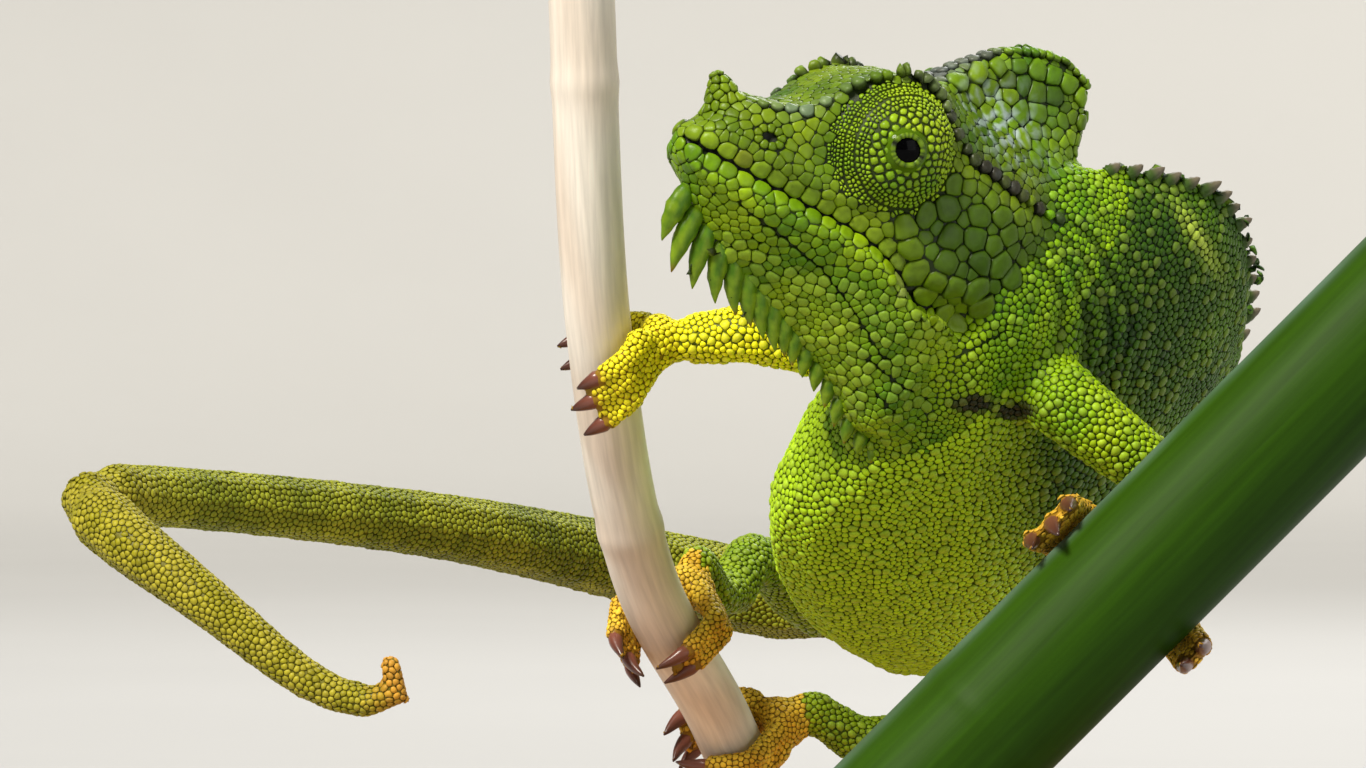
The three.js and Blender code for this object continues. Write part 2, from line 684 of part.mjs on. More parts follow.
function buildBody() {
  const cut = GAP / BODY_LENGTH;
  const clear = 0.008;
  const headParts = [upperHead(GAP), lowerHead(GAP)];
  const length = (from, to, steps, crest) => union([bodyLength(from, to, 0, steps), ...crest]);
  const neckCrest = dorsalCrest(CREST_START, NECK_END - clear, 2);
  const frontCrest = dorsalCrest(NECK_END + clear, TRUNK_MIDDLE - clear, 13);
  const backCrest = dorsalCrest(TRUNK_MIDDLE + clear, CREST_END, 11);
  const neck = length(0, NECK_END, 3, neckCrest);
  const front = length(NECK_END + cut, TRUNK_MIDDLE, 7, frontCrest);
  addNode('neck', without(neck, ...headParts, ...beard().slice(-3)), GREEN, 0.65);
  addNode('trunk_front', without(front, ...headParts), GREEN, 0.65);
  addNode('trunk_back', length(TRUNK_MIDDLE + cut, 1, 8, backCrest), GREEN, 0.65);
}

function buildTail() {
  const gap = GAP / tailCurve.getLength();
  const hips = bodyLength(0.7, 1, GAP, 5);
  for (let i = 0; i < TAIL_CUTS.length - 1; i += 1) {
    const first = i === 0;
    const last = i === TAIL_CUTS.length - 2;
    const length = tailLength(TAIL_CUTS[i] + (first ? 0 : gap), TAIL_CUTS[i + 1], 0, last ? 11 : 6);
    addNode(`tail_${i + 1}`, first ? length.subtract(hips) : length, OLIVE, 0.65);
  }
}

function buildLeg(leg) {
  const grip = gripFrame(leg.stem, leg.share, leg.palm);
  const wrist = grip.axis.clone().addScaledVector(grip.outward, toeReach(leg.stem) + WRIST_REACH);
  const [root, knee, ankle] = leg.thick;
  const shape = { up: LIMB_UP, sides: 8, rings: [50] };
  const upperShape = {
    ...shape,
    path: curveOf(leg.points),
    radius: profile([[0, root], [0.35, root * 0.92], [0.75, knee], [1, knee * 1.02]]),
    steps: 4,
  };
  const lowerShape = {
    ...shape,
    path: new THREE.CatmullRomCurve3([...leg.lower.map(vector), wrist]),
    radius: profile([[0, knee], [0.4, knee * 0.98], [1, ankle * 0.9]]),
    steps: 3,
  };
  const upper = (grow) => limb({ ...upperShape, grow });
  const lower = (grow) => limb({ ...lowerShape, grow });
  const palm = (grow) => palmSolid(grip, leg.width, wrist, grow);
  const body = [bodyLength(0, 0.5, GAP, 10), bodyLength(0.5, 1, GAP, 8)];
  const tailRoot = leg.besideTail ? [tailLength(0, TAIL_CUTS[1], GAP, 8)] : [];
  addNode(`${leg.name}_upper`, without(upper(0), ...body, ...tailRoot), GREEN, 0.65);
  addNode(`${leg.name}_lower`, without(lower(0), upper(GAP), ...body), LIME, 0.65);
  addNode(`${leg.name}_palm`, without(palm(0), lower(GAP), stemSolid(leg.stem, GAP)), LIME, 0.65);
  ['inner', 'outer'].forEach((word, i) => {
    const way = i === 0 ? 1 : -1;
    const bundle = toeBundle(grip, way, leg.toes[i], leg.arcs[i], leg.slide[i]);
    addNode(`${leg.name}_${word}_toes`, without(bundle, palm(GAP), lower(GAP)), YELLOW, 0.6);
  });
}

function roundedPlate(width, depth, radius) {
  const x = width / 2;
  const y = depth / 2;
  const shape = new THREE.Shape();
  shape.moveTo(-x + radius, -y);
  shape.lineTo(x - radius, -y);
  shape.absarc(x - radius, -y + radius, radius, -Math.PI / 2, 0);
  shape.lineTo(x, y - radius);
  shape.absarc(x - radius, y - radius, radius, 0, Math.PI / 2);
  shape.lineTo(-x + radius, y);
  shape.absarc(-x + radius, y - radius, radius, Math.PI / 2, Math.PI);
  shape.lineTo(-x, -y + radius);
  shape.absarc(-x + radius, -y + radius, radius, Math.PI, 1.5 * Math.PI);
  return shape;
}

function upright(x, y, low, high, radius, sides = 12) {
  const rod = new THREE.CylinderGeometry(radius, radius, high - low, sides);
  rod.rotateX(Math.PI / 2);
  rod.translate(x, y, (low + high) / 2);
  return solid(rod);
}

function buildPerchAndStand() {
  const [width, depth, height] = BASE_SIZE;
  const floor = -ANIMAL_ORIGIN.z;
  const top = floor + height;
  const sockets = STEM_RODS.map(({ place, stem, share, radius, sides, colour }) => {
    const { x, y, z } = stemPath(stem).getPointAt(share);
    const high = z + stem.radius * ROD_REACH;
    const sleeve = upright(x, y, top - ROD_SINK - GAP, high + GAP, radius + GAP);
    const collar = upright(x, y, top + GAP, top + COLLAR_HEIGHT, COLLAR_RADIUS, 16);
    addNode(`${place}_stem`, stemSolid(stem, 0, sides).subtract(sleeve), colour, 0.5);
    addNode(`stand_rod_${place}`, upright(x, y, top - ROD_SINK, high, radius), STEEL, 0.3, 1);
    addNode(`stand_collar_${place}`, collar.subtract(sleeve), STEEL, 0.3, 1);
    return sleeve;
  });
  const outline = roundedPlate(width - 2 * BASE_EDGE, depth - 2 * BASE_EDGE, BASE_CORNER);
  const plate = new THREE.ExtrudeGeometry(outline, {
    depth: height - 2 * BASE_EDGE,
    bevelEnabled: true,
    bevelThickness: BASE_EDGE,
    bevelSize: BASE_EDGE,
    bevelSegments: 1,
    curveSegments: 3,
  });
  plate.translate(-ANIMAL_ORIGIN.x, -ANIMAL_ORIGIN.y, floor + BASE_EDGE);
  addNode('stand_base', without(solid(plate), ...sockets), OAK, 0.5);
}

buildHead();
buildBody();
buildTail();
LEGS.forEach(buildLeg);
buildPerchAndStand();

const chameleon = new THREE.Group();
const whole = new THREE.Group();
whole.position.copy(ANIMAL_ORIGIN);
nodes.forEach((node) => whole.add(node));
chameleon.add(whole);

export default chameleon;
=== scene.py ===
"""A high-casqued chameleon at life size, holding two cut plant stems, on a plain display stand.

All lengths in this file are millimetres in the row's frame; MM turns them to metres at the mesh.
"""

import bpy
import numpy as np
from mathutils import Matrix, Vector
from mathutils.bvhtree import BVHTree


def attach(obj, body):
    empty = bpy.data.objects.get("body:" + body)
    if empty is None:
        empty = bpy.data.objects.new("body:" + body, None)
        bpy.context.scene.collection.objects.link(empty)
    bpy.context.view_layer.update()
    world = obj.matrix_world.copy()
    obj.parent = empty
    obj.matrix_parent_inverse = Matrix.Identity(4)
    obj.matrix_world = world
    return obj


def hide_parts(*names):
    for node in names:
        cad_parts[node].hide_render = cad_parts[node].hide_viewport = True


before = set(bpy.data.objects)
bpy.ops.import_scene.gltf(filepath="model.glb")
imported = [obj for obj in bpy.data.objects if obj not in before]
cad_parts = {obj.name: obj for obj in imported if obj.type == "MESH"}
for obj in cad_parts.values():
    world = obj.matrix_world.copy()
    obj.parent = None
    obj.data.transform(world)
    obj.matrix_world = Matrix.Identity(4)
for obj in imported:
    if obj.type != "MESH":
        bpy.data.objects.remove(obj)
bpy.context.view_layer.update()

MM = 0.001
rng = np.random.default_rng(11)

# ---- sizes and places that the solids are made from ----

ORIGIN = np.array([-16.0, -36.0, 62.0])  # the other places are given from here
HEAD_MIDDLE = ORIGIN + [14.3, 7.0, 20.8]
HEAD_YAW, HEAD_PITCH, HEAD_ROLL = np.radians([30.6, 25.2, -7.9])
LIP_HEIGHT = [(15.3, -7.0), (5, -7.4), (-1, -7.4), (-5, -8.5), (-9.2, -10.2), (-15, -9.6), (-20.5, -7.0)]
LIP_HALF = [(15.3, 1.1), (13.4, 2.8), (10.3, 4.1), (5, 5.5), (0, 6.5), (-9, 7.8), (-15, 6.6), (-20.5, 4.4)]
CROWN_HEIGHT = [
    (15.3, -6.2), (13.4, -4.2), (11.4, -1.2), (8, -0.4), (5, 3.3), (1.5, 6.3),
    (-2.8, 7.2), (-6, 10.3), (-11, 14.3), (-15.5, 15.1), (-19, 13.6), (-20.5, 10.4),
]
RIDGE_HEIGHT = [
    (15.3, -6.3), (11, -1.8), (7.2, -0.4), (4.6, 3.6), (1.5, 6.4), (-1.5, 6.5), (-4.6, 4.6), (-8, 2.7), (-20.5, 1.6),
]
RIDGE_HALF = [
    (15.3, 1.0), (11, 2.7), (5, 5.2), (1, 6.3), (-4, 6.6), (-8, 7.3), (-13, 7.2), (-17, 6.3), (-20.5, 4.6),
]
KEEL_HEIGHT = [
    (15.0, -8.3), (13.6, -9.9), (11.9, -11.3), (10.5, -12.3), (8.6, -13.1), (6.6, -13.8), (0, -15.7),
    (-4.2, -17.4), (-8, -19.0), (-12, -21.6), (-16, -22.6),
]
EYE_PLACE, EYE_RADIUS, EYE_BULGE, EYE_SINK = -0.95, 5.6, 4.7, 5.5
EYEBALL_RADIUS, LID_OPENING = 2.4, 1.15
SLIT_DROP = 0.25  # the middle of the mouth's slit lies this far below the upper lip
GAZE_FORWARD, GAZE_DOWN = 0.243, 0.052
HORN_TIP = [14.2, 0, -1.1]
BEARD_FRONT, BEARD_REAR, BEARD_SPINES = 11.9, -15.0, 17
BEARD_LENGTH = [
    (0, 4.2), (0.06, 5.0), (0.15, 4.7), (0.3, 4.3), (0.44, 4.0), (0.52, 2.9), (0.62, 2.3), (0.8, 2.0), (1, 1.1),
]
BEARD_LEAN = [(0, 0.17), (0.06, 0.1), (0.3, -0.42), (0.45, -0.38), (0.62, -0.1), (1, 0)]
BACK_LINE = ORIGIN + [
    [29, 10.5, 18.6], [39.2, 16.5, 18.2], [47.2, 22.5, 15.8], [50.4, 33, 8.2], [48, 50, -0.8],
    [39, 66.5, -10], [24.5, 79.5, -15.4],
]
BELLY_LINE = ORIGIN + [
    [17.2, 9, 0.4], [12.6, 14, -7], [8, 20, -11.8], [9.2, 32, -19.2], [15.3, 49, -24.4],
    [19.6, 65, -24.8], [14.6, 80, -22.2],
]
TAIL_LINE = ORIGIN + [
    [22, 77, -18.2], [9.4, 83, -20.5], [-2.2, 80, -18], [-22.5, 56, -13.2], [-44.8, 36, -10.2], [-51.7, 26, -9.9],
    [-50.3, 20, -11.7], [-41, 14.5, -18.5], [-31.4, 11.8, -25.6], [-27.3, 10.9, -27], [-24.75, 10.3, -26.7],
    [-23.9, 10, -25.25], [-24.9, 9.7, -23.8],
]
FRONT_STEM = {"line": ORIGIN + [[16, -4, -37.3], [61.8, -4, 8.5]], "radius": 6.4}
BACK_STEM = {
    "line": ORIGIN + [[-9, 20, 38], [-7.4, 28, 4.8], [-3.6, 41, -17], [3.4, 56, -31], [9, 66, -44.5]],
    "radius": 2.9,
}
FEET = {
    "left_foreleg": (FRONT_STEM, 0.462, [0, 1, 0.05], [3, 2], [104, 112], [-1.6, -1.0]),
    "right_foreleg": (BACK_STEM, 0.36, [1, -0.1, 0.15], [3, 2], [96, 118], [3.0, 1.8]),
    "left_hindleg": (BACK_STEM, 0.86, [1, 0.2, 0.3], [2, 3], [150, 150], [-1.0, -1.0]),
    "right_hindleg": (BACK_STEM, 0.69, [0.5, 1, 0.2], [2, 3], [150, 150], [-1.0, -1.0]),
}
TOE_RADIUS, TOE_PITCH, TOE_SPLAY, CLAW_LENGTH = 1.25, 1.75, 0.22, 2.1

HEAD_NODES = ["head", "casque", "rostral_horn", "lower_jaw", "throat"]
EYE_NODES = ["left_eye_turret", "right_eye_turret"]
BODY_NODES = ["neck", "trunk_front", "trunk_back"]
TAIL_NODES = [f"tail_{i}" for i in range(1, 6)]
ARM_NODES = [f"{leg}_{part}" for leg in FEET for part in ("upper", "lower")]
FOOT_NODES = [f"{leg}_{part}" for leg in FEET for part in ("palm", "inner_toes", "outer_toes")]
FLESH = HEAD_NODES + EYE_NODES + BODY_NODES + TAIL_NODES + ARM_NODES + FOOT_NODES

# ---- small helpers ----


def unit(vectors):
    """Each vector divided by its own length."""
    vectors = np.asarray(vectors, float)
    return vectors / np.maximum(np.linalg.norm(vectors, axis=-1, keepdims=True), 1e-12)


def profile(pairs, place):
    """A smooth function through (place, value) pairs that never overshoots: cubic spans whose
    slope at each pair is the harmonic mean of the slopes on its two sides."""
    x, y = np.array(sorted(pairs), float).T
    slope = np.diff(y) / np.diff(x)
    before, after = np.r_[slope[0], slope], np.r_[slope, slope[-1]]
    product = before * after
    bend = np.where(product > 0, 2 * product / np.where(product > 0, before + after, 1), 0)
    place = np.clip(place, x[0], x[-1])
    i = np.clip(np.searchsorted(x, place, side="right") - 1, 0, len(x) - 2)
    span = x[i + 1] - x[i]
    t = (place - x[i]) / span
    ease = t * t * (3 - 2 * t)
    return y[i] * (1 - ease) + y[i + 1] * ease + t * (1 - t) * span * ((1 - t) * bend[i] - t * bend[i + 1])


def spline(points, t):
    """A Catmull-Rom curve with centripetal spacing, t running evenly over its spans from 0 to 1."""
    p = np.asarray(points, float)
    p = np.vstack([2 * p[0] - p[1], p, 2 * p[-1] - p[-2]])
    place = np.clip(t, 0, 1) * (len(p) - 3)
    i = np.minimum(place.astype(int), len(p) - 4)
    w = (place - i)[:, None]
    p0, p1, p2, p3 = p[i], p[i + 1], p[i + 2], p[i + 3]
    d0, d1, d2 = (np.sqrt(np.linalg.norm(b - a, axis=1))[:, None] for a, b in ((p0, p1), (p1, p2), (p2, p3)))
    m1 = ((p1 - p0) / d0 - (p2 - p0) / (d0 + d1) + (p2 - p1) / d1) * d1
    m2 = ((p2 - p1) / d1 - (p3 - p1) / (d1 + d2) + (p3 - p2) / d2) * d1
    return (p1 * (2 * w**3 - 3 * w**2 + 1) + m1 * (w**3 - 2 * w**2 + w)
            + p2 * (3 * w**2 - 2 * w**3) + m2 * (w**3 - w**2))


def travel(points, share):
    """Place and direction on a spline at shares of its length."""
    t = np.linspace(0, 1, 1201)
    line = spline(points, t)
    run = np.r_[0, np.cumsum(np.linalg.norm(np.diff(line, axis=0), axis=1))]
    at = np.interp(np.asarray(share, float), run / run[-1], t)
    step = 1e-3
    ahead = spline(points, np.clip(at + step, 0, 1)) - spline(points, np.clip(at - step, 0, 1))
    return spline(points, at), unit(ahead)


def linear(code):
    """A colour's sRGB hex code as linear red, green and blue."""
    value = np.array([int(code[i:i + 2], 16) for i in (1, 3, 5)]) / 255
    return np.where(value <= 0.04045, value / 12.92, ((value + 0.055) / 1.055) ** 2.4)


def mix(first, second, share):
    """A blend of two colours, or of two rows of colours, by a share for each row."""
    share = np.clip(np.asarray(share, float), 0, 1)[..., None]
    return first * (1 - share) + second * share


def bell(value, middle, width):
    """A smooth hump: 1 at the middle, falling to about a third at one width."""
    return np.exp(-((value - middle) / width) ** 2)


def rise(value, low, high):
    """A smooth step from 0 at low to 1 at high."""
    t = np.clip((value - low) / (high - low), 0, 1)
    return t * t * (3 - 2 * t)


# ---- the head's frame: a forward along the mouth, b to the animal's left, c up ----

LEVEL_LEFT = np.array([np.sin(HEAD_YAW), -np.cos(HEAD_YAW), 0])
FORWARD = np.array([
    -np.cos(HEAD_YAW) * np.cos(HEAD_PITCH), -np.sin(HEAD_YAW) * np.cos(HEAD_PITCH), np.sin(HEAD_PITCH),
])
LEFT = LEVEL_LEFT * np.cos(HEAD_ROLL) + np.cross(FORWARD, LEVEL_LEFT) * np.sin(HEAD_ROLL)
CROWN = np.cross(FORWARD, LEFT)
HEAD_AXES = np.array([FORWARD, LEFT, CROWN])


def head_point(abc):
    return HEAD_MIDDLE + np.asarray(abc, float) @ HEAD_AXES


def head_place(points):
    return (points - HEAD_MIDDLE) @ HEAD_AXES.T


def eye_frame(side):
    """Centre of an eye turret, two axes across it, the way it points, and the way the eye looks."""
    centre = head_point([EYE_PLACE, side * EYE_SINK, 0])
    out = unit(np.array([-0.04, side, -0.02]) @ HEAD_AXES)
    up = unit(np.cross(out, FORWARD) * side)
    gaze = unit(np.array([GAZE_FORWARD, side, -GAZE_DOWN]) @ HEAD_AXES)
    return centre, np.cross(up, out), up, out, gaze


# ---- meshes ----


MERGE_STEPS = 500  # corners within a 500th of a millimetre are one point


def node_mesh(name):
    """A CAD node's points and triangles, with its loose corners merged."""
    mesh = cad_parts[name].data
    points = np.empty(len(mesh.vertices) * 3, np.float32)
    mesh.vertices.foreach_get("co", points)
    mesh.calc_loop_triangles()
    tris = np.empty(len(mesh.loop_triangles) * 3, np.int32)
    mesh.loop_triangles.foreach_get("vertices", tris)
    points = points.reshape(-1, 3).astype(float) / MM
    steps = np.round(points * MERGE_STEPS).astype(int)
    _, first, back = np.unique(steps, axis=0, return_index=True, return_inverse=True)
    return points[first], back.reshape(-1)[tris].reshape(-1, 3)


def face_cross(points, tris):
    """The cross product of two sides of each triangle: its normal, twice its area long."""
    return np.cross(points[tris[:, 1]] - points[tris[:, 0]], points[tris[:, 2]] - points[tris[:, 0]])


def point_normals(points, tris):
    """The sum of the face normals round each point, made unit length."""
    across = face_cross(points, tris)
    total = np.stack([
        np.bincount(tris.ravel(), np.repeat(across[:, k], 3), len(points)) for k in range(3)
    ], axis=1)
    return unit(total)


def put_mesh(name, points, faces, material, tint=None, uv=None, smooth=True):
    """A finished piece from points in millimetres and rows of corners, riding on the one body.
    tint is a colour for each point, uv a place for each point on the map for baking."""
    mesh = bpy.data.meshes.new(name)
    faces = [np.asarray(rows, np.int32) for rows in (faces if isinstance(faces, list) else [faces])]
    corners = np.concatenate([rows.ravel() for rows in faces])
    sizes = np.concatenate([np.full(len(rows), rows.shape[1], np.int32) for rows in faces])
    mesh.vertices.add(len(points))
    mesh.vertices.foreach_set("co", (np.asarray(points) * MM).astype(np.float32).ravel())
    mesh.loops.add(len(corners))
    mesh.loops.foreach_set("vertex_index", corners)
    mesh.polygons.add(len(sizes))
    mesh.polygons.foreach_set("loop_start", np.r_[0, np.cumsum(sizes)[:-1]].astype(np.int32))
    mesh.polygons.foreach_set("use_smooth", np.full(len(sizes), smooth))
    mesh.update(calc_edges=True)
    if tint is not None:
        layer = mesh.color_attributes.new("tint", "FLOAT_COLOR", "POINT")
        layer.data.foreach_set("color", np.c_[tint, np.ones(len(points))].astype(np.float32).ravel())
    if uv is not None:
        layer = mesh.uv_layers.new(name="OFBake")
        layer.data.foreach_set("uv", uv[corners].astype(np.float32).ravel())
    mesh.validate()
    piece = bpy.data.objects.new(name, mesh)
    bpy.context.scene.collection.objects.link(piece)
    mesh.materials.append(material)
    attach(piece, "root")
    return piece


def ring_quads(rows, around, loop=False):
    """Faces between rings of points set one after another. In a loop the last ring meets the first."""
    r, k = np.meshgrid(np.arange(rows if loop else rows - 1), np.arange(around), indexing="ij")
    m, n = (r + 1) % rows, (k + 1) % around
    return np.stack([r * around + k, m * around + k, m * around + n, r * around + n], axis=-1).reshape(-1, 4)


def rings_closed(rows, around):
    """Faces between rings of points, and fans to a first and a last point that come after them."""
    k, n = np.arange(around), (np.arange(around) + 1) % around
    last = (rows - 1) * around
    near = np.stack([np.full(around, rows * around), k, n], axis=1)
    far = np.stack([np.full(around, rows * around + 1), last + n, last + k], axis=1)
    return ring_quads(rows, around), np.vstack([near, far])


def around_full_turn(count):
    """Angles of evenly spaced directions round a full turn."""
    return 2 * np.pi * np.arange(count) / count


def plain_map(points, scale=0.005):
    """Places for baking a small piece: its first and last coordinates, scaled down."""
    return points[:, ::2] * scale + 0.5


def near_pairs(points, others, reach):
    """Index pairs of a point and another nearer than reach. The others are sorted into cubes of
    that size, and each point is set against the 27 cubes round its own."""
    low = np.minimum(points.min(0), others.min(0)) - 2 * reach
    cell, home = np.floor((points - low) / reach).astype(int), np.floor((others - low) / reach).astype(int)
    size = np.maximum(cell.max(0), home.max(0)) + 2
    order = np.argsort(np.ravel_multi_index(home.T, size), kind="stable")
    keys = np.ravel_multi_index(home.T, size)[order]
    found = []
    for step in np.ndindex(3, 3, 3):
        wanted = np.ravel_multi_index((cell + np.array(step) - 1).T, size)
        start = np.searchsorted(keys, wanted, "left")
        count = np.searchsorted(keys, wanted, "right") - start
        i = np.repeat(np.arange(len(points)), count)
        j = order[np.arange(count.sum()) + np.repeat(start - np.r_[0, np.cumsum(count)[:-1]], count)]
        close = ((points[i] - others[j]) ** 2).sum(1) < reach**2
        found.append(np.stack([i[close], j[close]]))
    return np.concatenate(found, axis=1)


def sample(points, tris, weight, count):
    """Random places on a surface, more where the weight of a triangle is high: each is a triangle
    and three shares of its corners."""
    chance = np.linalg.norm(face_cross(points, tris), axis=1) * weight
    face = rng.choice(len(tris), count, p=chance / chance.sum())
    u, v = rng.random(count), rng.random(count)
    over = u + v > 1
    u, v = np.where(over, 1 - u, u), np.where(over, 1 - v, v)
    return face, np.stack([1 - u - v, u, v], axis=1)


# ---- the skin: the flesh nodes grown together, softened, and sunk below the scales ----

JOIN_GROWTH, VOXEL = 0.25, 0.5


def fused_flesh(nodes):
    """Points and triangles of one closed surface round all the nodes: each node's copy is grown by
    half its gap along its normals, and the copies are remeshed together on a cubic grid."""
    all_points, all_tris, start = [], [], 0
    for name in nodes:
        points, tris = node_mesh(name)
        all_points.append(points + JOIN_GROWTH * point_normals(points, tris))
        all_tris.append(tris + start)
        start += len(points)
    mesh = bpy.data.meshes.new("grown_flesh")
    mesh.from_pydata((np.vstack(all_points) * MM).tolist(), [], np.vstack(all_tris).tolist())
    helper = bpy.data.objects.new("grown_flesh", mesh)
    bpy.context.scene.collection.objects.link(helper)
    remesh = helper.modifiers.new("join", "REMESH")
    remesh.mode = "VOXEL"
    remesh.voxel_size = VOXEL * MM
    shaped = helper.evaluated_get(bpy.context.evaluated_depsgraph_get()).to_mesh()
    shaped.calc_loop_triangles()
    points = np.empty(len(shaped.vertices) * 3, np.float32)
    shaped.vertices.foreach_get("co", points)
    tris = np.empty(len(shaped.loop_triangles) * 3, np.int32)
    shaped.loop_triangles.foreach_get("vertices", tris)
    bpy.data.objects.remove(helper)
    return points.reshape(-1, 3).astype(float) / MM, tris.reshape(-1, 3)


def outer_shell(points, tris):
    """Leaves out closed bubbles inside the flesh: keeps the piece with the most points."""
    root = np.arange(len(points))
    edges = np.concatenate([tris[:, :2], tris[:, 1:]])
    while True:
        low = np.minimum(root[edges[:, 0]], root[edges[:, 1]])
        after = root.copy()
        np.minimum.at(after, edges[:, 0], low)
        np.minimum.at(after, edges[:, 1], low)
        after = after[after]
        if (after == root).all():
            break
        root = after
    names, counts = np.unique(root, return_counts=True)
    kept = root == names[counts.argmax()]
    number = np.cumsum(kept) - 1
    return points[kept], number[tris[kept[tris[:, 0]]]]


def neighbour_mean(tris, count):
    """A function that gives, for three values at each point, the mean of those of its neighbours."""
    edges = np.unique(np.sort(np.concatenate([tris[:, :2], tris[:, 1:], tris[:, ::2]]), axis=1), axis=0)
    ends, others = np.concatenate([edges, edges[:, ::-1]]).T
    degree = np.bincount(ends, minlength=count)[:, None]
    return lambda values: np.stack([np.bincount(ends, values[others, k], count) for k in range(3)], axis=1) / degree


def soften(points, tris, strength, rounds):
    """Evens a surface out without shrinking it: each round moves a point towards the mean of its
    neighbours and then a little further back, as far as its own strength lets it."""
    mean = neighbour_mean(tris, len(points))
    for _ in range(rounds):
        for share in (0.5, -0.52):
            points = points + share * strength[:, None] * (mean(points) - points)
    return points


def even_normals(points, tris, rounds):
    """Normals without the small bumps: each round averages them with their neighbours'."""
    mean, normals = neighbour_mean(tris, len(points)), point_normals(points, tris)
    for _ in range(rounds):
        normals = unit(normals + mean(normals))
    return normals


def nearest_node(points, nodes):
    """For each point, the number of the node whose solid is nearest."""
    cloud, owner = [], []
    for number, name in enumerate(nodes):
        node_points, tris = node_mesh(name)
        area = np.linalg.norm(face_cross(node_points, tris), axis=1).sum() / 2
        count = int(area / 0.3) + 40
        face, share = sample(node_points, tris, np.ones(len(tris)), count)
        cloud.append((node_points[tris[face]] * share[..., None]).sum(1))
        owner.append(np.full(count, number))
    cloud, owner = np.vstack(cloud), np.concatenate(owner)
    i, j = near_pairs(points, cloud, 1.6)
    gap = ((points[i] - cloud[j]) ** 2).sum(1)
    order = np.lexsort((gap, i))
    i, j = i[order], j[order]
    first = np.r_[True, np.diff(i) > 0]
    label = np.zeros(len(points), int)
    label[i[first]] = owner[j[first]]
    return label


def labelled(label, names):
    """True where a label is one of the named nodes."""
    return np.isin(label, [FLESH.index(name) for name in names])


# ---- places on the body ----

NOISE_WAVES = rng.normal(size=(3, 9, 3))
NOISE_PHASES = rng.random((3, 9)) * 2 * np.pi


def mottle(points, length, number):
    """A soft random field from -1 to 1 whose patches are about length across: a sum of waves in
    many directions."""
    waves = unit(NOISE_WAVES[number]) * 2 * np.pi / (2 * length)
    return np.tanh(np.sin(points @ waves.T + NOISE_PHASES[number]).sum(1) / 2.6)


SPINE_STEPS = np.linspace(0, 1, 241)
BACK, BELLY = spline(BACK_LINE, SPINE_STEPS), spline(BELLY_LINE, SPINE_STEPS)
BODY_MIDDLE, BODY_UP = (BACK + BELLY) / 2, unit(BACK - BELLY)
BODY_ALONG = unit(np.gradient(BACK, axis=0) + np.gradient(BELLY, axis=0))
BODY_OUT = unit(np.cross(BODY_ALONG, BODY_UP))


def body_place(points):
    """Share of the body's length and angle round it from the back, for the nearest cross-section."""
    gap = ((points[:, None] - BODY_MIDDLE[None, ::4]) ** 2).sum(2)
    i = gap.argmin(1) * 4
    arm = points - BODY_MIDDLE[i]
    return SPINE_STEPS[i], np.arctan2((arm * BODY_OUT[i]).sum(1), (arm * BODY_UP[i]).sum(1))


def tail_share(points):
    """Share of the tail's length at the nearest place of its line."""
    share = np.linspace(0, 1, 160)
    return share[((points[:, None] - travel(TAIL_LINE, share)[0][None]) ** 2).sum(2).argmin(1)]


MOUTH_STEPS = 160


def mouth_line(side, count=MOUTH_STEPS):
    """The slit of the mouth on one side, from the snout to its corner, half a gap below the upper lip."""
    a = np.linspace(15.0, -10.4, count)
    return head_point(np.stack([a, side * profile(LIP_HALF, a), profile(LIP_HEIGHT, a) - SLIT_DROP], axis=1))


MOUTH_GUIDE = np.vstack([mouth_line(1), mouth_line(-1)])
NOSTRILS = head_point([[9.3, 4.3, -4.1], [9.3, -4.3, -4.1]])
EYES = {1: eye_frame(1), -1: eye_frame(-1)}
WRINKLE_MIDDLE, WRINKLE_SPACING, WRINKLE_DEPTH = [25.7, 4.6], 1.9, 0.34
FOLD_SPACING = 0.3
FOLDS = [
    [(9.0, 4.0, -10.6), (3.0, 4.9, -11.4), (-3.0, 5.4, -13.2), (-9.0, 5.6, -16.0)],
    [(1.0, 4.2, -13.4), (-4.5, 5.6, -15.2), (-10.0, 7.4, -15.6), (-14.5, 7.6, -12.6), (-17.0, 7.0, -9.0)],
    [(6.0, 3.2, -12.6), (0.2, 4.2, -14.8), (-6.7, 5.2, -16.8), (-14.3, 6.0, -17.4)],
    [(-1.0, 3.4, -16.6), (-7.0, 4.4, -18.6), (-13.0, 5.0, -19.6)],
]


def from_gaze(points, centre, gaze):
    """How far each point lies from the middle of an eye's opening, measured over the turret: the
    angle from the way the eye looks, times the turret's radius there."""
    return np.arccos(np.clip(unit(points - centre) @ gaze, -1, 1)) * EYE_BULGE


def fold_places():
    """Close places along the folds of the throat and neck, on both sides of the head."""
    rows = []
    for fold in FOLDS:
        for side in (1, -1):
            line = head_point(np.array(fold) * [1, side, 1])
            length = np.linalg.norm(np.diff(line, axis=0), axis=1).sum()
            rows.append(travel(line, np.linspace(0, 1, int(length / FOLD_SPACING)))[0])
    return np.vstack(rows)


def wrinkles(points, labels):
    """How far up or down the fine wrinkles that bend round the shoulder go, from -0.6 to 0.4: a
    cosine of the distance from a middle beside the neck, shifted by a soft random field."""
    arm = (points - ORIGIN)[:, [0, 2]] - WRINKLE_MIDDLE
    far, turn = np.linalg.norm(arm, axis=1), np.arctan2(arm[:, 1], arm[:, 0])
    strength = rise(far, 4.5, 7) * (1 - rise(far, 12, 15)) * rise(turn, -1.0, -0.2) * (1 - rise(turn, 1.8, 2.5))
    wave = np.cos(2 * np.pi * (far + 0.6 * mottle(points, 3.0, 2)) / WRINKLE_SPACING)
    return 0.5 * (wave - 0.2) * strength * labelled(labels, ["neck", "trunk_front"])


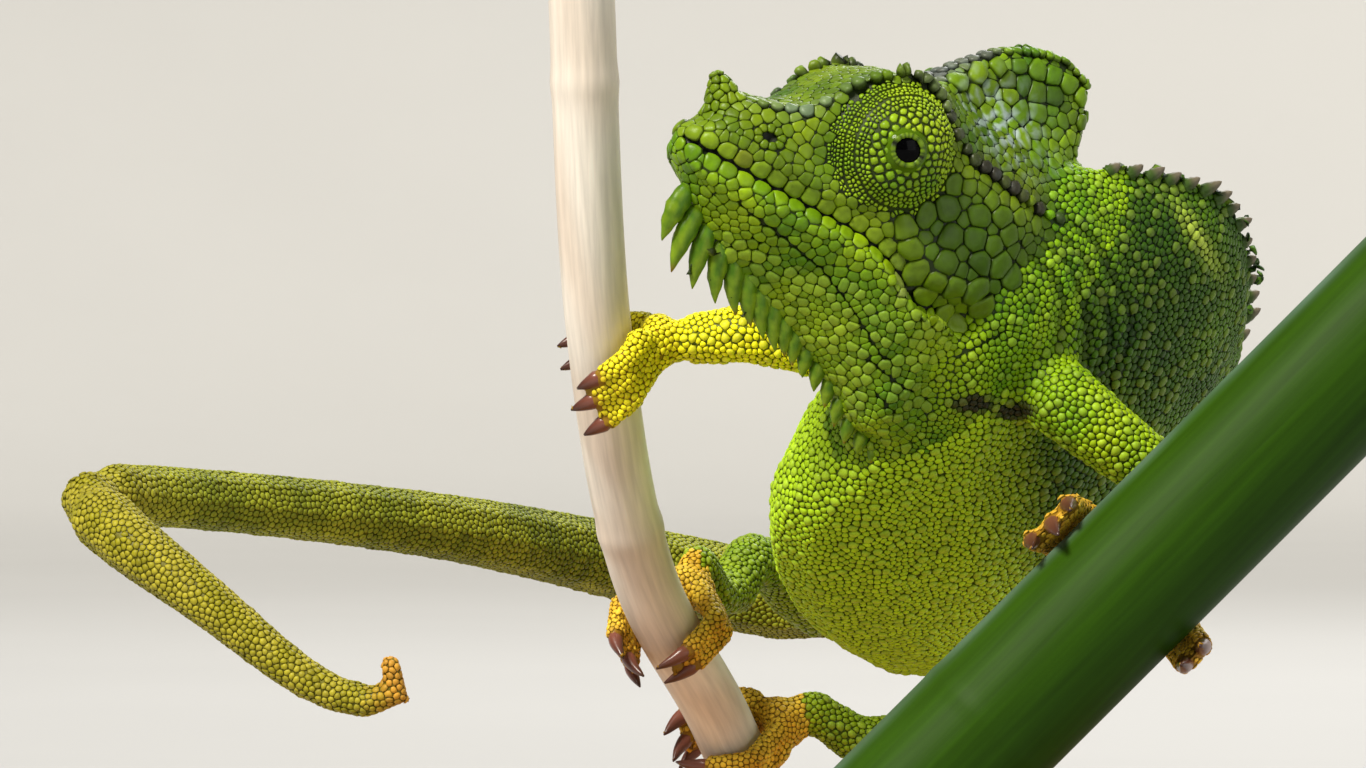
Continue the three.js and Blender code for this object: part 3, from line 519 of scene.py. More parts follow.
def distance_to(points, places, reach):
    """Distance to the nearest of some places, or the reach where none is nearer."""
    i, j = near_pairs(points, places, reach)
    gap = np.full(len(points), float(reach))
    np.minimum.at(gap, i, np.linalg.norm(points[i] - places[j], axis=1))
    return gap


# ---- skin ----
# The bed is the surface that the scales sit on. The skin lies just under it, with the hollows.
# The nodes' seams are softened away. Eyes, horn, head and feet keep more of their form.

bed, skin_tris = outer_shell(*fused_flesh(FLESH + ["left_eyeball", "right_eyeball"]))
skin_label = nearest_node(bed, FLESH)
on_head = labelled(skin_label, HEAD_NODES)
on_eye = labelled(skin_label, EYE_NODES)
on_trunk = labelled(skin_label, BODY_NODES)
on_foot = labelled(skin_label, FOOT_NODES)
on_horn = labelled(skin_label, ["rostral_horn"])
bed = soften(bed, skin_tris, np.select([on_eye, on_horn, on_head, on_foot], [0.4, 0.3, 0.6, 0.5], 1.0), 9)
bed = soften(bed, skin_tris, np.where(on_trunk, 1.0, np.where(on_head | on_eye | on_foot, 0.0, 0.6)), 24)
MOUTH_CORNERS = MOUTH_GUIDE[MOUTH_STEPS - 1::MOUTH_STEPS]
near_mouth = bell(distance_to(bed, MOUTH_GUIDE, 6.0), 0.8, 2.2)
bed = soften(bed, skin_tris, np.maximum(near_mouth, bell(distance_to(bed, MOUTH_CORNERS, 6.0), 0, 3.0)), 80)
# The bed lies this far inside the solids, so that the scales' tops come to the solids' surface.
SCALE_DEPTH = np.select([on_horn, on_head, on_eye, on_foot], [0.05, 0.2, 0.14, 0.1], 0.15)
bed = bed - point_normals(bed, skin_tris) * (JOIN_GROWTH + SCALE_DEPTH)[:, None]
bed = bed + point_normals(bed, skin_tris) * WRINKLE_DEPTH * wrinkles(bed, skin_label)[:, None]
bed_normal = even_normals(bed, skin_tris, 4)
BED_TREE = BVHTree.FromPolygons([Vector(p) for p in bed], skin_tris.tolist())


def settle(places):
    """The nearest points of the bed to some places, their normals, labels and how far they moved."""
    found = [BED_TREE.find_nearest(Vector(place)) for place in places]
    points = np.array([hit[0] for hit in found])
    face = np.array([hit[2] for hit in found])
    normal = unit(bed_normal[skin_tris[face]].mean(1))
    return points, normal, skin_label[skin_tris[face, 0]], np.array([hit[3] for hit in found])


def lip_places(side, count, lift):
    """Places along the mouth on the bed, met from outside the lip, at a distance above the slit."""
    line = mouth_line(side, count)
    run = np.gradient(line, axis=0)
    outward = unit(np.cross(run, CROWN)) * side
    outward *= np.sign((outward * (line - head_point([[0.0, 0.0, -8.0]]))).sum(1))[:, None]

    def meet(places):
        hits = [BED_TREE.ray_cast(Vector(place + 5 * way), Vector(-way), 9.0)[0] or Vector(place)
                for place, way in zip(places, outward)]
        return np.array([tuple(hit) for hit in hits])

    slit = meet(line)
    if not lift:
        return slit
    rise_by = np.full(count, lift)
    for _ in range(2):
        found = meet(line + rise_by[:, None] * CROWN)
        apart = np.linalg.norm(found - slit, axis=1)
        rise_by = rise_by * np.clip(abs(lift) / np.maximum(apart, 0.1), 0.5, 1.5)
    return meet(line + rise_by[:, None] * CROWN)


MOUTH = np.vstack([lip_places(1, MOUTH_STEPS, 0), lip_places(-1, MOUTH_STEPS, 0)])
folds, _, _, moved = settle(fold_places())
FOLD_LINES = folds[(distance_to(folds, MOUTH, 2.5) > 1.7) & (moved < 1.1)]
mouth_gap = distance_to(bed, MOUTH, 1.2)
nostril_gap = distance_to(bed, NOSTRILS, 2.0)
fold_gap = distance_to(bed, FOLD_LINES, 1.5)
hollow = 0.05 + 0.4 * bell(mouth_gap, 0, 0.3) + 0.7 * bell(nostril_gap, 0, 0.45) + 0.15 * bell(fold_gap, 0, 0.45)
lid_skin = np.zeros(len(bed))
for centre, *_, gaze in EYES.values():
    aim = from_gaze(bed, centre, gaze)
    hollow += 0.55 * bell(aim, 0, 0.95) * on_eye
    lid_skin += 0.9 * bell(aim, 1.55, 0.45) * on_eye
skin = bed - bed_normal * hollow[:, None]


# ---- where the scales sit ----

LID_REACH = 1.4  # no scale sits this near the middle of an eye's opening
SCALE_NEAR = 0.84  # two scales stand no nearer than this times the mean of their sizes
# Scales are filled in by size, from the first number to the second, at a share of their size. The
# last round sets small ones into the gaps that are left between large plates.
FILL_ROUNDS = [(1.05, 9, 1), (0.7, 1.05, 1), (0, 0.7, 1), (0.95, 9, 0.5)]
KNOB_SHARE, THROAT_KNOB_SHARE, KNOB_GROWTH = 0.025, 0.07, 1.5
# Round an eye: the rings' first and last angle from the turret's axis, and those without scales.
RING_START, RING_END, BARE_RINGS = 0.84, 2.0, (3, 7)
LAYOUT = {"points": [], "normals": [], "labels": [], "size": [], "height": [], "kind": []}
PLAIN, LIP, RING, CREST, TUBERCLE, LINE = range(6)  # a line's places carry no scale and stay open


def place_scales(points, normals, labels, size, height, kind):
    """Adds scales to the layout. size is a scale's width, height how far it stands above the skin."""
    count = len(points)
    for key, value in zip(LAYOUT, (points, normals, labels, size, height, kind)):
        value = np.asarray(value)
        LAYOUT[key].append(value if value.ndim and len(value) == count else np.full(count, value))


def scale_size(points, labels):
    """Width of the scales at each place: large plates on the cheek and casque, smaller on the snout
    and jaw, and fine granules on the neck, trunk, legs and tail."""
    a, _, c = head_place(points).T
    t, angle = body_place(points)
    upper = 0.86 + 1.07 * rise(-a, -1, 4) * rise(1.8 - c, 0, 3.5) - 0.12 * rise(c, 2, 5)
    casque = 1.75 - 0.75 * rise(c, profile(CROWN_HEIGHT, a) - 2.6, profile(CROWN_HEIGHT, a) - 0.6)
    jaw = 0.96 - 0.26 * rise(-7.5 - c, 1.5, 5.5)
    throat = 0.6 + 0.16 * rise(a, -2, 6)
    neck = 0.44 + 0.12 * bell(t, 0.02, 0.1)
    trunk = 0.56 + 0.1 * bell(np.abs(angle), 1.1, 0.8)
    turret = np.full(len(points), 0.47)
    for centre, *_, gaze in EYES.values():
        turret += 0.2 * bell(from_gaze(points, centre, gaze), 2.9, 1.1)
    size = np.select(
        [labels == FLESH.index("casque"), labels == FLESH.index("rostral_horn"), labels == FLESH.index("head"),
         labels == FLESH.index("lower_jaw"), labels == FLESH.index("throat"), labels == FLESH.index("neck"),
         labelled(labels, BODY_NODES), labelled(labels, TAIL_NODES), labelled(labels, ARM_NODES),
         labelled(labels, FOOT_NODES)],
        [casque, 0.72, upper, jaw, throat, neck, trunk, 0.5, 0.52, 0.46], turret)
    nape = labelled(labels, ["head", "casque"]) & (a < -16)
    return np.where(nape, np.minimum(size, 1.0), size)


# Height above the slit, spacing, kind and the scales' own height, for each row along the mouth.
LIP_ROWS = [(0.0, 0.22, LINE, 0), (0.76, 1.66, LIP, 0.3), (-0.76, 1.66, LIP, 0.3)]
# Half the width and height of each ring round a nostril, its scales' size and height, and its kind.
NOSTRIL_RINGS = [(0.0, 0.0, 0.5, 0, LINE), (0.5, 0.18, 0.3, 0, LINE), (1.1, 0.8, 0.62, 0.3, CREST)]


def lip_rows():
    """A row of squarish scales above and one below each side of the mouth, with a thin line of
    places between them that carry no scale and keep the slit open."""
    for side in (1, -1):
        for lift, spacing, kind, tall in LIP_ROWS:
            line = lip_places(side, 300, lift)
            run = np.r_[0, np.cumsum(np.linalg.norm(np.diff(line, axis=0), axis=1))]
            stops = np.arange(0.4 + 0.8 * (lift < 0), run[-1] * (1 if kind == LINE else 0.84), spacing)
            stops = stops + (rng.random(len(stops)) - 0.5) * spacing * 0.14 * (kind == LIP)
            place = np.stack([np.interp(stops, run, line[:, k]) for k in range(3)], axis=1)
            width = 0.17 if kind == LINE else spacing * 0.9
            place_scales(*settle(place)[:3], width, tall, kind)


def nostril_places():
    """A small oval without scales at each nostril, in a ring of raised scales that make its rim."""
    turn = around_full_turn(9)
    for middle in NOSTRILS:
        for wide, high, size, tall, kind in NOSTRIL_RINGS:
            ring = turn if wide else turn[:1]
            place = middle + np.outer(wide * np.cos(ring), FORWARD) + np.outer(high * np.sin(ring), CROWN)
            place_scales(*settle(place)[:3], size, tall, kind)


def eye_rings():
    """Fine scales in rings round each eye, on the outer part of the turret. A ring's count is its
    girth over the scale width. The rings' middle drifts from the turret's own axis to the gaze as
    they get smaller. Two rings carry no scale and leave the dark circles open."""
    for centre, across, up, out, gaze in EYES.values():
        polar, ring = RING_START, 0
        while polar < RING_END:
            width = 0.47 - 0.09 * rise(polar, 1, 1.5)
            wide = np.hypot(EYE_RADIUS * np.cos(polar), EYE_BULGE * np.sin(polar))
            open_ring = ring in BARE_RINGS
            spacing = 0.25 if open_ring else width
            count = int(2 * np.pi * EYE_RADIUS * np.sin(polar) / spacing)
            turn = 2 * np.pi * (np.arange(count) + 0.7 * (rng.random(count) - 0.5)) / count
            depth = polar + (rng.random(count) - 0.5) * 0.25 * width / wide
            place = (centre + np.outer(np.cos(depth) * EYE_BULGE, out)
                     + (np.sin(depth) * EYE_RADIUS * np.cos(turn))[:, None] * across
                     + (np.sin(depth) * EYE_RADIUS * np.sin(turn))[:, None] * up)
            place = place + EYE_BULGE * 0.35 * rise(-depth, -1.9, -0.6)[:, None] * (gaze - out)
            points, normals, labels, moved = settle(place)
            kept = (moved < 0.8) & labelled(labels, EYE_NODES)
            place_scales(points[kept], normals[kept], labels[kept], 0.12 if open_ring else width,
                         0.15, LINE if open_ring else RING)
            polar += (0.26 if open_ring else width * 0.86) / wide
            ring += 1


def crest_rows():
    """Raised tubercles along the ridges of the head: the snout ridge, the brow, the side crest that
    runs back over the cheek, and the rim and keel of the casque, with the pointed tip of the horn."""
    tip = HORN_TIP[0] + np.array([0, 0.3, -0.35, 0.05, -0.05])
    rows = [(tip, np.array([0, 0, 0, 0.45, -0.45]), HORN_TIP[2] + np.array([0.5, -0.2, -0.15, -0.4, -0.4]), 0.7, 0.25)]
    for side in (1, -1):
        snout = np.linspace(10.6, 5.2, 6)
        rows.append((snout, side * profile(RIDGE_HALF, snout), profile(RIDGE_HEIGHT, snout), 0.95, 0.35))
        brow = np.linspace(4.6, -4.4, 11)
        tall = 0.55 if side > 0 else 0.75
        rows.append((brow, side * (profile(RIDGE_HALF, brow) - 0.2), profile(RIDGE_HEIGHT, brow), 0.95, tall))
        lateral = np.linspace(-5.6, -18, 12)
        rows.append((lateral, side * profile(RIDGE_HALF, lateral), profile(RIDGE_HEIGHT, lateral), 0.95, 0.65))
        rim = np.linspace(-3.8, -19.8, 21)
        rows.append((rim, side * np.full(21, 0.5), profile(CROWN_HEIGHT, rim), 0.8, 0.36))
        plates = np.linspace(-5.5, -19.6, 9)
        rows.append((plates, side * np.full(9, 2.2), profile(CROWN_HEIGHT, plates) - 1.35, 1.7, 0.42))
    for a, b, c, size, tall in rows:
        place = head_point(np.stack([a, b, c], axis=1)) + (rng.random((len(a), 3)) - 0.5) * 0.3
        points, normals, labels, _ = settle(place)
        spread = size * (0.85 + 0.3 * rng.random(len(a)))
        kept = ~labelled(labels, EYE_NODES)
        place_scales(points[kept], normals[kept], labels[kept], spread[kept], tall, CREST)


def fold_rows():
    """Places without a scale along the folds, which keep the dark creases open."""
    place_scales(*settle(FOLD_LINES)[:3], 0.05, 0, LINE)


def thin_out(points, normals, size, rank, near):
    """True for the places that are kept: no two kept places stand nearer than near times the mean
    of their sizes, and of two such places the one of higher rank stays. It is settled in rounds."""
    i, j = near_pairs(points, points, near * size.max())
    spaced = np.linalg.norm(points[i] - points[j], axis=1) < near * (size[i] + size[j]) / 2
    fair = (i != j) & spaced & ((normals[i] * normals[j]).sum(1) > 0) & (rank[i] > rank[j])
    high, low = i[fair], j[fair]
    open_, kept = np.ones(len(points), bool), np.zeros(len(points), bool)
    while open_.any():
        blocked = np.zeros(len(points), bool)
        blocked[low[open_[high] & open_[low]]] = True
        chosen = open_ & ~blocked
        kept |= chosen
        open_ &= ~chosen
        open_[low[chosen[high]]] = False
    return kept


def all_places():
    """The layout so far as one row for each scale."""
    return {key: np.concatenate(rows) for key, rows in LAYOUT.items()}


def fill_scales():
    """Fills the rest of the skin: places are sampled densely, closer where scales are small, and
    thinned so that each scale has its own room. Coarse scales and tubercles go first, and small ones
    fill the gaps that are left between large plates."""
    tri_size = scale_size(bed, skin_label)[skin_tris].mean(1)
    expected = (np.linalg.norm(face_cross(bed, skin_tris), axis=1) / 2 / tri_size**2).sum()
    face, share = sample(bed, skin_tris, 1 / tri_size**2, int(expected * (5)))
    points = (bed[skin_tris[face]] * share[..., None]).sum(1)
    normals = unit((bed_normal[skin_tris[face]] * share[..., None]).sum(1))
    labels = skin_label[skin_tris[face, share.argmax(1)]]
    size = scale_size(points, labels)
    clear = distance_to(points, NOSTRILS, 2.0) > 1.0
    clear &= distance_to(points, SPINE_ROOTS, 2.0) > 0.5
    for centre, *_, gaze in EYES.values():
        near_eye = labelled(labels, EYE_NODES) & (np.linalg.norm(points - centre, axis=1) < 7)
        clear &= ~(near_eye & (from_gaze(points, centre, gaze) < LID_REACH))
    a, b, c = head_place(points).T
    clear &= ~((np.abs(b) < 1.2) & (c < profile(KEEL_HEIGHT, a) - 0.3) & labelled(labels, ["throat"]))
    kind = np.full(len(points), PLAIN)
    dice = rng.random(len(points))
    knob = clear & labelled(labels, BODY_NODES + ARM_NODES) & (dice < KNOB_SHARE)
    knob |= clear & labelled(labels, ["throat"]) & (dice < THROAT_KNOB_SHARE)
    kind[knob] = TUBERCLE
    size = size * np.where(knob, KNOB_GROWTH, 0.88 + 0.24 * rng.random(len(points)))
    rank = rng.random(len(points)) + 10 * knob
    taken, near = all_places(), SCALE_NEAR
    for low, high, part in FILL_ROUNDS:
        chosen = np.flatnonzero(clear & (size >= low) & (size < high))
        size[chosen] *= part
        i, j = near_pairs(points[chosen], taken["points"], near * (size[chosen].max() + 2.2) / 2)
        gap = np.linalg.norm(points[chosen[i]] - taken["points"][j], axis=1)
        crowded = (gap < near * (size[chosen[i]] + taken["size"][j]) / 2)
        crowded &= (normals[chosen[i]] * taken["normals"][j]).sum(1) > 0
        free = np.ones(len(chosen), bool)
        free[i[crowded]] = False
        chosen = chosen[free]
        kept = chosen[thin_out(points[chosen], normals[chosen], size[chosen], rank[chosen], near)]
        tall = size[kept] * np.select(
            [kind[kept] == TUBERCLE, labelled(labels[kept], ["casque"]), labelled(labels[kept], ["rostral_horn"]),
             labelled(labels[kept], ["head"]), labelled(labels[kept], ["lower_jaw"])],
            [0.3, 0.15, 0.3, 0.15, 0.2], 0.24)
        place_scales(points[kept], normals[kept], labels[kept], size[kept], tall, kind[kept])
        taken = all_places()
    return taken


# ---- shapes of the scales ----


def scale_outlines(layout, mine, sides):
    """How far each of my scales reaches in each direction. The border with a neighbour divides the
    way between them over the skin, which is an arc where it bends, in the ratio of their sizes. The
    nearest border counts. The drop is how far the skin has curved away there, worked out from how
    high that neighbour's own place lies."""
    points, normals, size = layout["points"], layout["normals"], layout["size"]
    turn = around_full_turn(sides)
    heading = np.stack([np.cos(turn), np.sin(turn)])
    side = unit(np.cross(normals, BODY_ALONG[60] + np.array([0.01, 0.02, 0.03])))
    ahead = np.cross(normals, side)
    widest = np.where(layout["kind"] == CREST, 0.66, 0.95) * size
    reach = np.repeat(widest[:, None], sides, axis=1)
    drop = np.zeros((len(points), sides))
    for low, high, wide in ((0, 0.8, 1.7), (0.8, 1.3, 2.3), (1.3, 9, 3.4)):
        own = mine[(size[mine] >= low) & (size[mine] < high)]
        if not len(own):
            continue
        i, j = near_pairs(points[own], points, wide)
        i = own[i]
        agree = (normals[i] * normals[j]).sum(1)
        fair = (i != j) & (agree > -0.2)
        i, j, half_turn = i[fair], j[fair], np.arccos(np.clip(agree[fair], -1, 0.9999)) / 2
        order = np.argsort(i, kind="stable")
        i, j, half_turn = i[order], j[order], half_turn[order]
        arm = points[j] - points[i]
        flat = np.stack([(arm * side[i]).sum(1), (arm * ahead[i]).sum(1)], axis=1)
        toward = flat @ heading / np.maximum(np.linalg.norm(flat, axis=1), 1e-6)[:, None]
        far = np.linalg.norm(arm, axis=1) * half_turn / np.sin(half_turn)
        border = (far * size[i] / (size[i] + size[j]))[:, None] / np.maximum(toward, 0.05)
        border = np.where(toward > 0.12, border, 99.0)
        # A border and the number of its pair share one whole number, so one minimum finds both.
        packed = (np.minimum(border, 99) * 1e5).astype(np.int64) * 2**26 + np.arange(len(i))[:, None]
        starts = np.flatnonzero(np.r_[True, np.diff(i) > 0])
        best = np.minimum.reduceat(packed, starts, axis=0)
        who, nearest, pair = i[starts], (best >> 26) / 1e5, best & (2**26 - 1)
        fall = (arm * normals[i]).sum(1)[pair] * (nearest / np.maximum(far[pair], 1e-6)) ** 2
        drop[who] = np.where(nearest < reach[who], np.clip(fall, -0.5, 0.3), drop[who])
        reach[who] = np.minimum(reach[who], nearest)
    return side[mine], ahead[mine], reach[mine], drop[mine]


def relax(layout, rounds):
    """Evens out the room between scales: each free scale moves most of the way to the middle of its
    own outline, and back onto the skin."""
    free = np.flatnonzero((layout["kind"] == PLAIN) | (layout["kind"] == TUBERCLE))
    turn = around_full_turn(10)
    for _ in range(rounds):
        side, ahead, reach, _ = scale_outlines(layout, free, 10)
        weight = (reach**2).sum(1)
        x, y = ((reach**3 * wave).sum(1) * 2 / 3 / weight for wave in (np.cos(turn), np.sin(turn)))
        moved = layout["points"][free] + 0.8 * (x[:, None] * side + y[:, None] * ahead)
        points, normals, labels, _ = settle(moved)
        same = labels == layout["labels"][free]
        layout["points"][free] = np.where(same[:, None], points, layout["points"][free])
        layout["normals"][free] = np.where(same[:, None], normals, layout["normals"][free])


def scale_piece(name, layout, chosen, material, sides, rings, groove, tint):
    """Domes over the chosen scales: each ring is a share of the outline, a share of the height and a
    shade of the colour, the last point is the crown, and a flat underside closes it in the skin.
    Slivers that their neighbours have left almost no room are dropped."""
    mine = np.flatnonzero(chosen)
    side, ahead, room, drop = scale_outlines(layout, mine, sides)
    whole = room.mean(1) > 0.27 * layout["size"][mine]
    mine, side, ahead, room, drop = mine[whole], side[whole], ahead[whole], room[whole], drop[whole]
    points, normals = layout["points"][mine], layout["normals"][mine]
    tall = layout["height"][mine] * np.minimum(1, room.mean(1) / (0.42 * layout["size"][mine]))
    reach = np.maximum(room - groove, 0.4 * room)
    turn = around_full_turn(sides)
    heading = np.cos(turn)[:, None] * side[:, None] + np.sin(turn)[:, None] * ahead[:, None]
    levels = [
        points[:, None] + (reach * share)[..., None] * heading
        + (drop * share**2 + (tall * height)[:, None])[..., None] * normals[:, None]
        for share, height, _ in rings
    ]
    top = points + normals * tall[:, None]
    count, per = len(points), sides * len(rings) + 1
    verts = np.concatenate(levels + [top[:, None]], axis=1).reshape(-1, 3)
    k, after = np.arange(sides), (np.arange(sides) + 1) % sides
    quads = ring_quads(len(rings), sides)[:, [0, 3, 2, 1]]
    last = sides * (len(rings) - 1)
    fans = np.stack([k + last, after + last, np.full(sides, sides * len(rings))], axis=1)
    start = (np.arange(count) * per)[:, None, None]
    shade = np.r_[np.repeat([shade for _, _, shade in rings], sides), 1.0]
    colour = (tint[mine][:, None] * shade[None, :, None]).reshape(-1, 3)
    # The casque's plates carry a painted reflection, in flecks finer than a scale.
    if name == "head_plates":  # its flecks are finer than a scale, so each point has its own
        colour = mix(colour, linear("#b4c4cc"), casque_painted_reflection(verts))
    spread = np.concatenate([
        np.stack([np.cos(turn), np.sin(turn)], axis=1) * share for share, _, _ in rings] + [np.zeros((1, 2))])
    uv = (layout["map"][mine][:, None] + 0.0015 * spread[None]).reshape(-1, 2)
    faces = [(quads[None] + start).reshape(-1, 4), (fans[None] + start).reshape(-1, 3),
             (k[::-1][None] + start[:, 0]).reshape(-1, sides)]
    return put_mesh(name, verts, faces, material, colour, uv)


def skin_map(points, labels):
    """A flat map of the body for baking: each node has its own cell, in which the place along the
    node's length and the angle round it give the two shares."""
    place = np.zeros((len(points), 2))
    columns = 6
    for number in np.unique(labels):
        mine = labels == number
        node_points = node_mesh(FLESH[number])[0]
        middle = node_points.mean(0)
        axes = np.linalg.svd(node_points - middle, full_matrices=False)[2]
        along, across, up = ((points[mine] - middle) @ axes.T).T
        extent = np.abs((node_points - middle) @ axes[0]).max()
        length, angle = np.clip(along / extent, -1, 1) / 2, np.arctan2(up, across) / (2 * np.pi)
        share = np.stack([length, angle], axis=1) + 0.5
        corner = np.array([number % columns, number // columns])
        place[mine] = (corner + 0.04 + 0.92 * share) / columns
    return place


# ---- tubes, spikes and claws ----


def sweep(line, share, reach, up):
    """A closed tube along a smooth line: at each share of its length a ring stands square to the
    line, reach gives its radius there for each direction, and the two ends are closed by fans."""
    place, ahead = travel(line, share)
    side = unit(np.cross(ahead, up))
    top = np.cross(side, ahead)
    rows, around = reach.shape
    turn = around_full_turn(around)
    heading = np.cos(turn)[:, None] * side[:, None] + np.sin(turn)[:, None] * top[:, None]
    ring = place[:, None] + reach[..., None] * heading
    return np.vstack([ring.reshape(-1, 3), place[:1], place[-1:]]), *rings_closed(rows, around)


def gather(parts):
    """Joins (points, quads, triangles) rows into one set of each."""
    start = np.cumsum([0] + [len(points) for points, _, _ in parts])
    return (np.vstack([points for points, _, _ in parts]),
            [np.vstack([quads + s for (_, quads, _), s in zip(parts, start)]),
             np.vstack([tris + s for (_, _, tris), s in zip(parts, start)])])


# The spines of the beard and of the back crest, rooted a little inside the skin.
BEARD_RADIUS = [(0, 0.78), (1, 0.54)]
BEARD_ROOT, CREST_ROOT, CREST_RADIUS, CREST_LEAN = 0.7, 0.6, 0.8, 0.35
CREST_HEIGHT = [(0, 1.8), (1, 0.9)]
CREST_SPINES, SPINE_ROWS, BEARD_AROUND, CREST_AROUND = 27, 14, 12, 8
CLAW_ROWS, CLAW_AROUND = 10, 10


def share_along(rows, around, count):
    """Share of the way from foot to tip at each point of many swept pieces, one after another."""
    return np.tile(np.r_[np.repeat(np.linspace(0, 1, rows), around), 0, 1], count)


def beard_line():
    """Foot, direction, length and radius of each spine of the beard."""
    share = np.arange(BEARD_SPINES) / (BEARD_SPINES - 1)
    a = BEARD_FRONT + (BEARD_REAR - BEARD_FRONT) * share
    foot = head_point(np.stack([a, 0 * a, profile(KEEL_HEIGHT, a) + BEARD_ROOT], axis=1))
    lean = unit(np.stack([profile(BEARD_LEAN, share), 0 * a, 0 * a - 1], axis=1)) @ HEAD_AXES
    return foot, lean, profile(BEARD_LENGTH, share) + BEARD_ROOT, profile(BEARD_RADIUS, share)


def crest_line():
    """Foot, direction, length and radius of each spine along the back."""
    t = np.linspace(0.125, 0.95, CREST_SPINES)
    back, belly = spline(BACK_LINE, t), spline(BELLY_LINE, t)
    up = unit(back - belly)
    lean = unit(up + CREST_LEAN * unit(spline(BACK_LINE, t + 0.002) - spline(BACK_LINE, t - 0.002)))
    return back - up * CREST_ROOT, lean, profile(CREST_HEIGHT, t) + CREST_ROOT, np.full(len(t), CREST_RADIUS)


def spikes(foot, lean, length, radius, outline, around, ahead, bend):
    """Tapered spikes: the radius follows an outline from foot to tip, wider ahead than across, with
    a faint ridge down each face, and each leans back a little towards its tip."""
    share, turn = np.linspace(0, 1, SPINE_ROWS), around_full_turn(around)
    parts = []
    for place, way, tall, wide in zip(foot, lean, length, radius):
        bow = unit(np.cross(np.cross(way, ahead), way))
        line = place + np.outer([0, 0.35, 0.7, 1], way) * tall - np.outer([0, 0.02, 0.1, 0.22], bow) * tall * bend
        size = wide * profile(outline, share)
        bumps = np.sin(22 * share + 20 * rng.random())[:, None] * np.cos(3 * turn + 20 * rng.random())
        reach = size[:, None] * (1 + 0.14 * np.cos(2 * turn) + 0.1 * bumps)
        parts.append(sweep(line, share, reach, np.cross(way, ahead)))
    return gather(parts)


SPINE_ROOTS = np.concatenate([
    foot + lean * (tall * 0.35)[:, None] for foot, lean, tall, _ in (beard_line(), crest_line())
])

# A toe leaves the palm at TOE_START over its distance from the stem's middle, in degrees. A toe
# nearer than TOE_START_REACH counts as that far.
TOE_START, TOE_START_REACH = 132, 3.6


def toe_paths():
    """The line of every toe, an arc round its stem from the palm that ends in the hook of its claw,
    and the way that the stem runs there."""
    lines = []
    for stem, share, palm, toes, arcs, slides in FEET.values():
        place, along = travel(stem["line"], [share])
        along = along[0]
        outward = unit(np.array(palm, float) - np.dot(palm, along) * along)
        across = np.cross(along, outward)
        reach = stem["radius"] + 0.3 + TOE_RADIUS * 1.2
        start = TOE_START / max(reach, TOE_START_REACH)
        for way, count, arc, slide in zip((1, -1), toes, arcs, slides):
            for i in range(count):
                middle = i - (count - 1) / 2
                steps = np.array([0, 0.5, 1, 1.04])
                angle = np.radians(start + (arc * (1 - 0.1 * abs(middle)) - start) * steps)
                lifted = reach + 0.25 * np.sin(np.pi * np.minimum(steps, 1))
                spots = (place[0] + np.outer(np.cos(angle) * lifted, outward)
                         + np.outer(way * np.sin(angle) * lifted, across)
                         + np.outer(middle * TOE_PITCH * (1 + TOE_SPLAY * steps) + slide * steps, along))
                hook = spots[2] + unit(spots[3] - spots[2]) * CLAW_LENGTH - outward * CLAW_LENGTH / 4
                lines.append((np.vstack([spots[:3], hook]), along))
    return lines


TOES = toe_paths()
CLAW_ROOTS = np.vstack([travel(line, np.linspace(0.76, 1, 6))[0] for line, _ in TOES])


def claws():
    """Curved claws on the toe lines, deeper than wide, from a blunt root down to a fine tip."""
    share, turn = np.linspace(0.7, 1.0, CLAW_ROWS), around_full_turn(CLAW_AROUND)
    size = profile([(0.7, 0.6), (0.76, 0.78), (0.84, 0.62), (0.93, 0.38), (1, 0.1)], share)
    parts = []
    for line, along in TOES:
        reach = size[:, None] * (1 - 0.16 * np.cos(turn) ** 2)
        parts.append(sweep(line, share, reach, along))
    return gather(parts)


# ---- colours by place ----

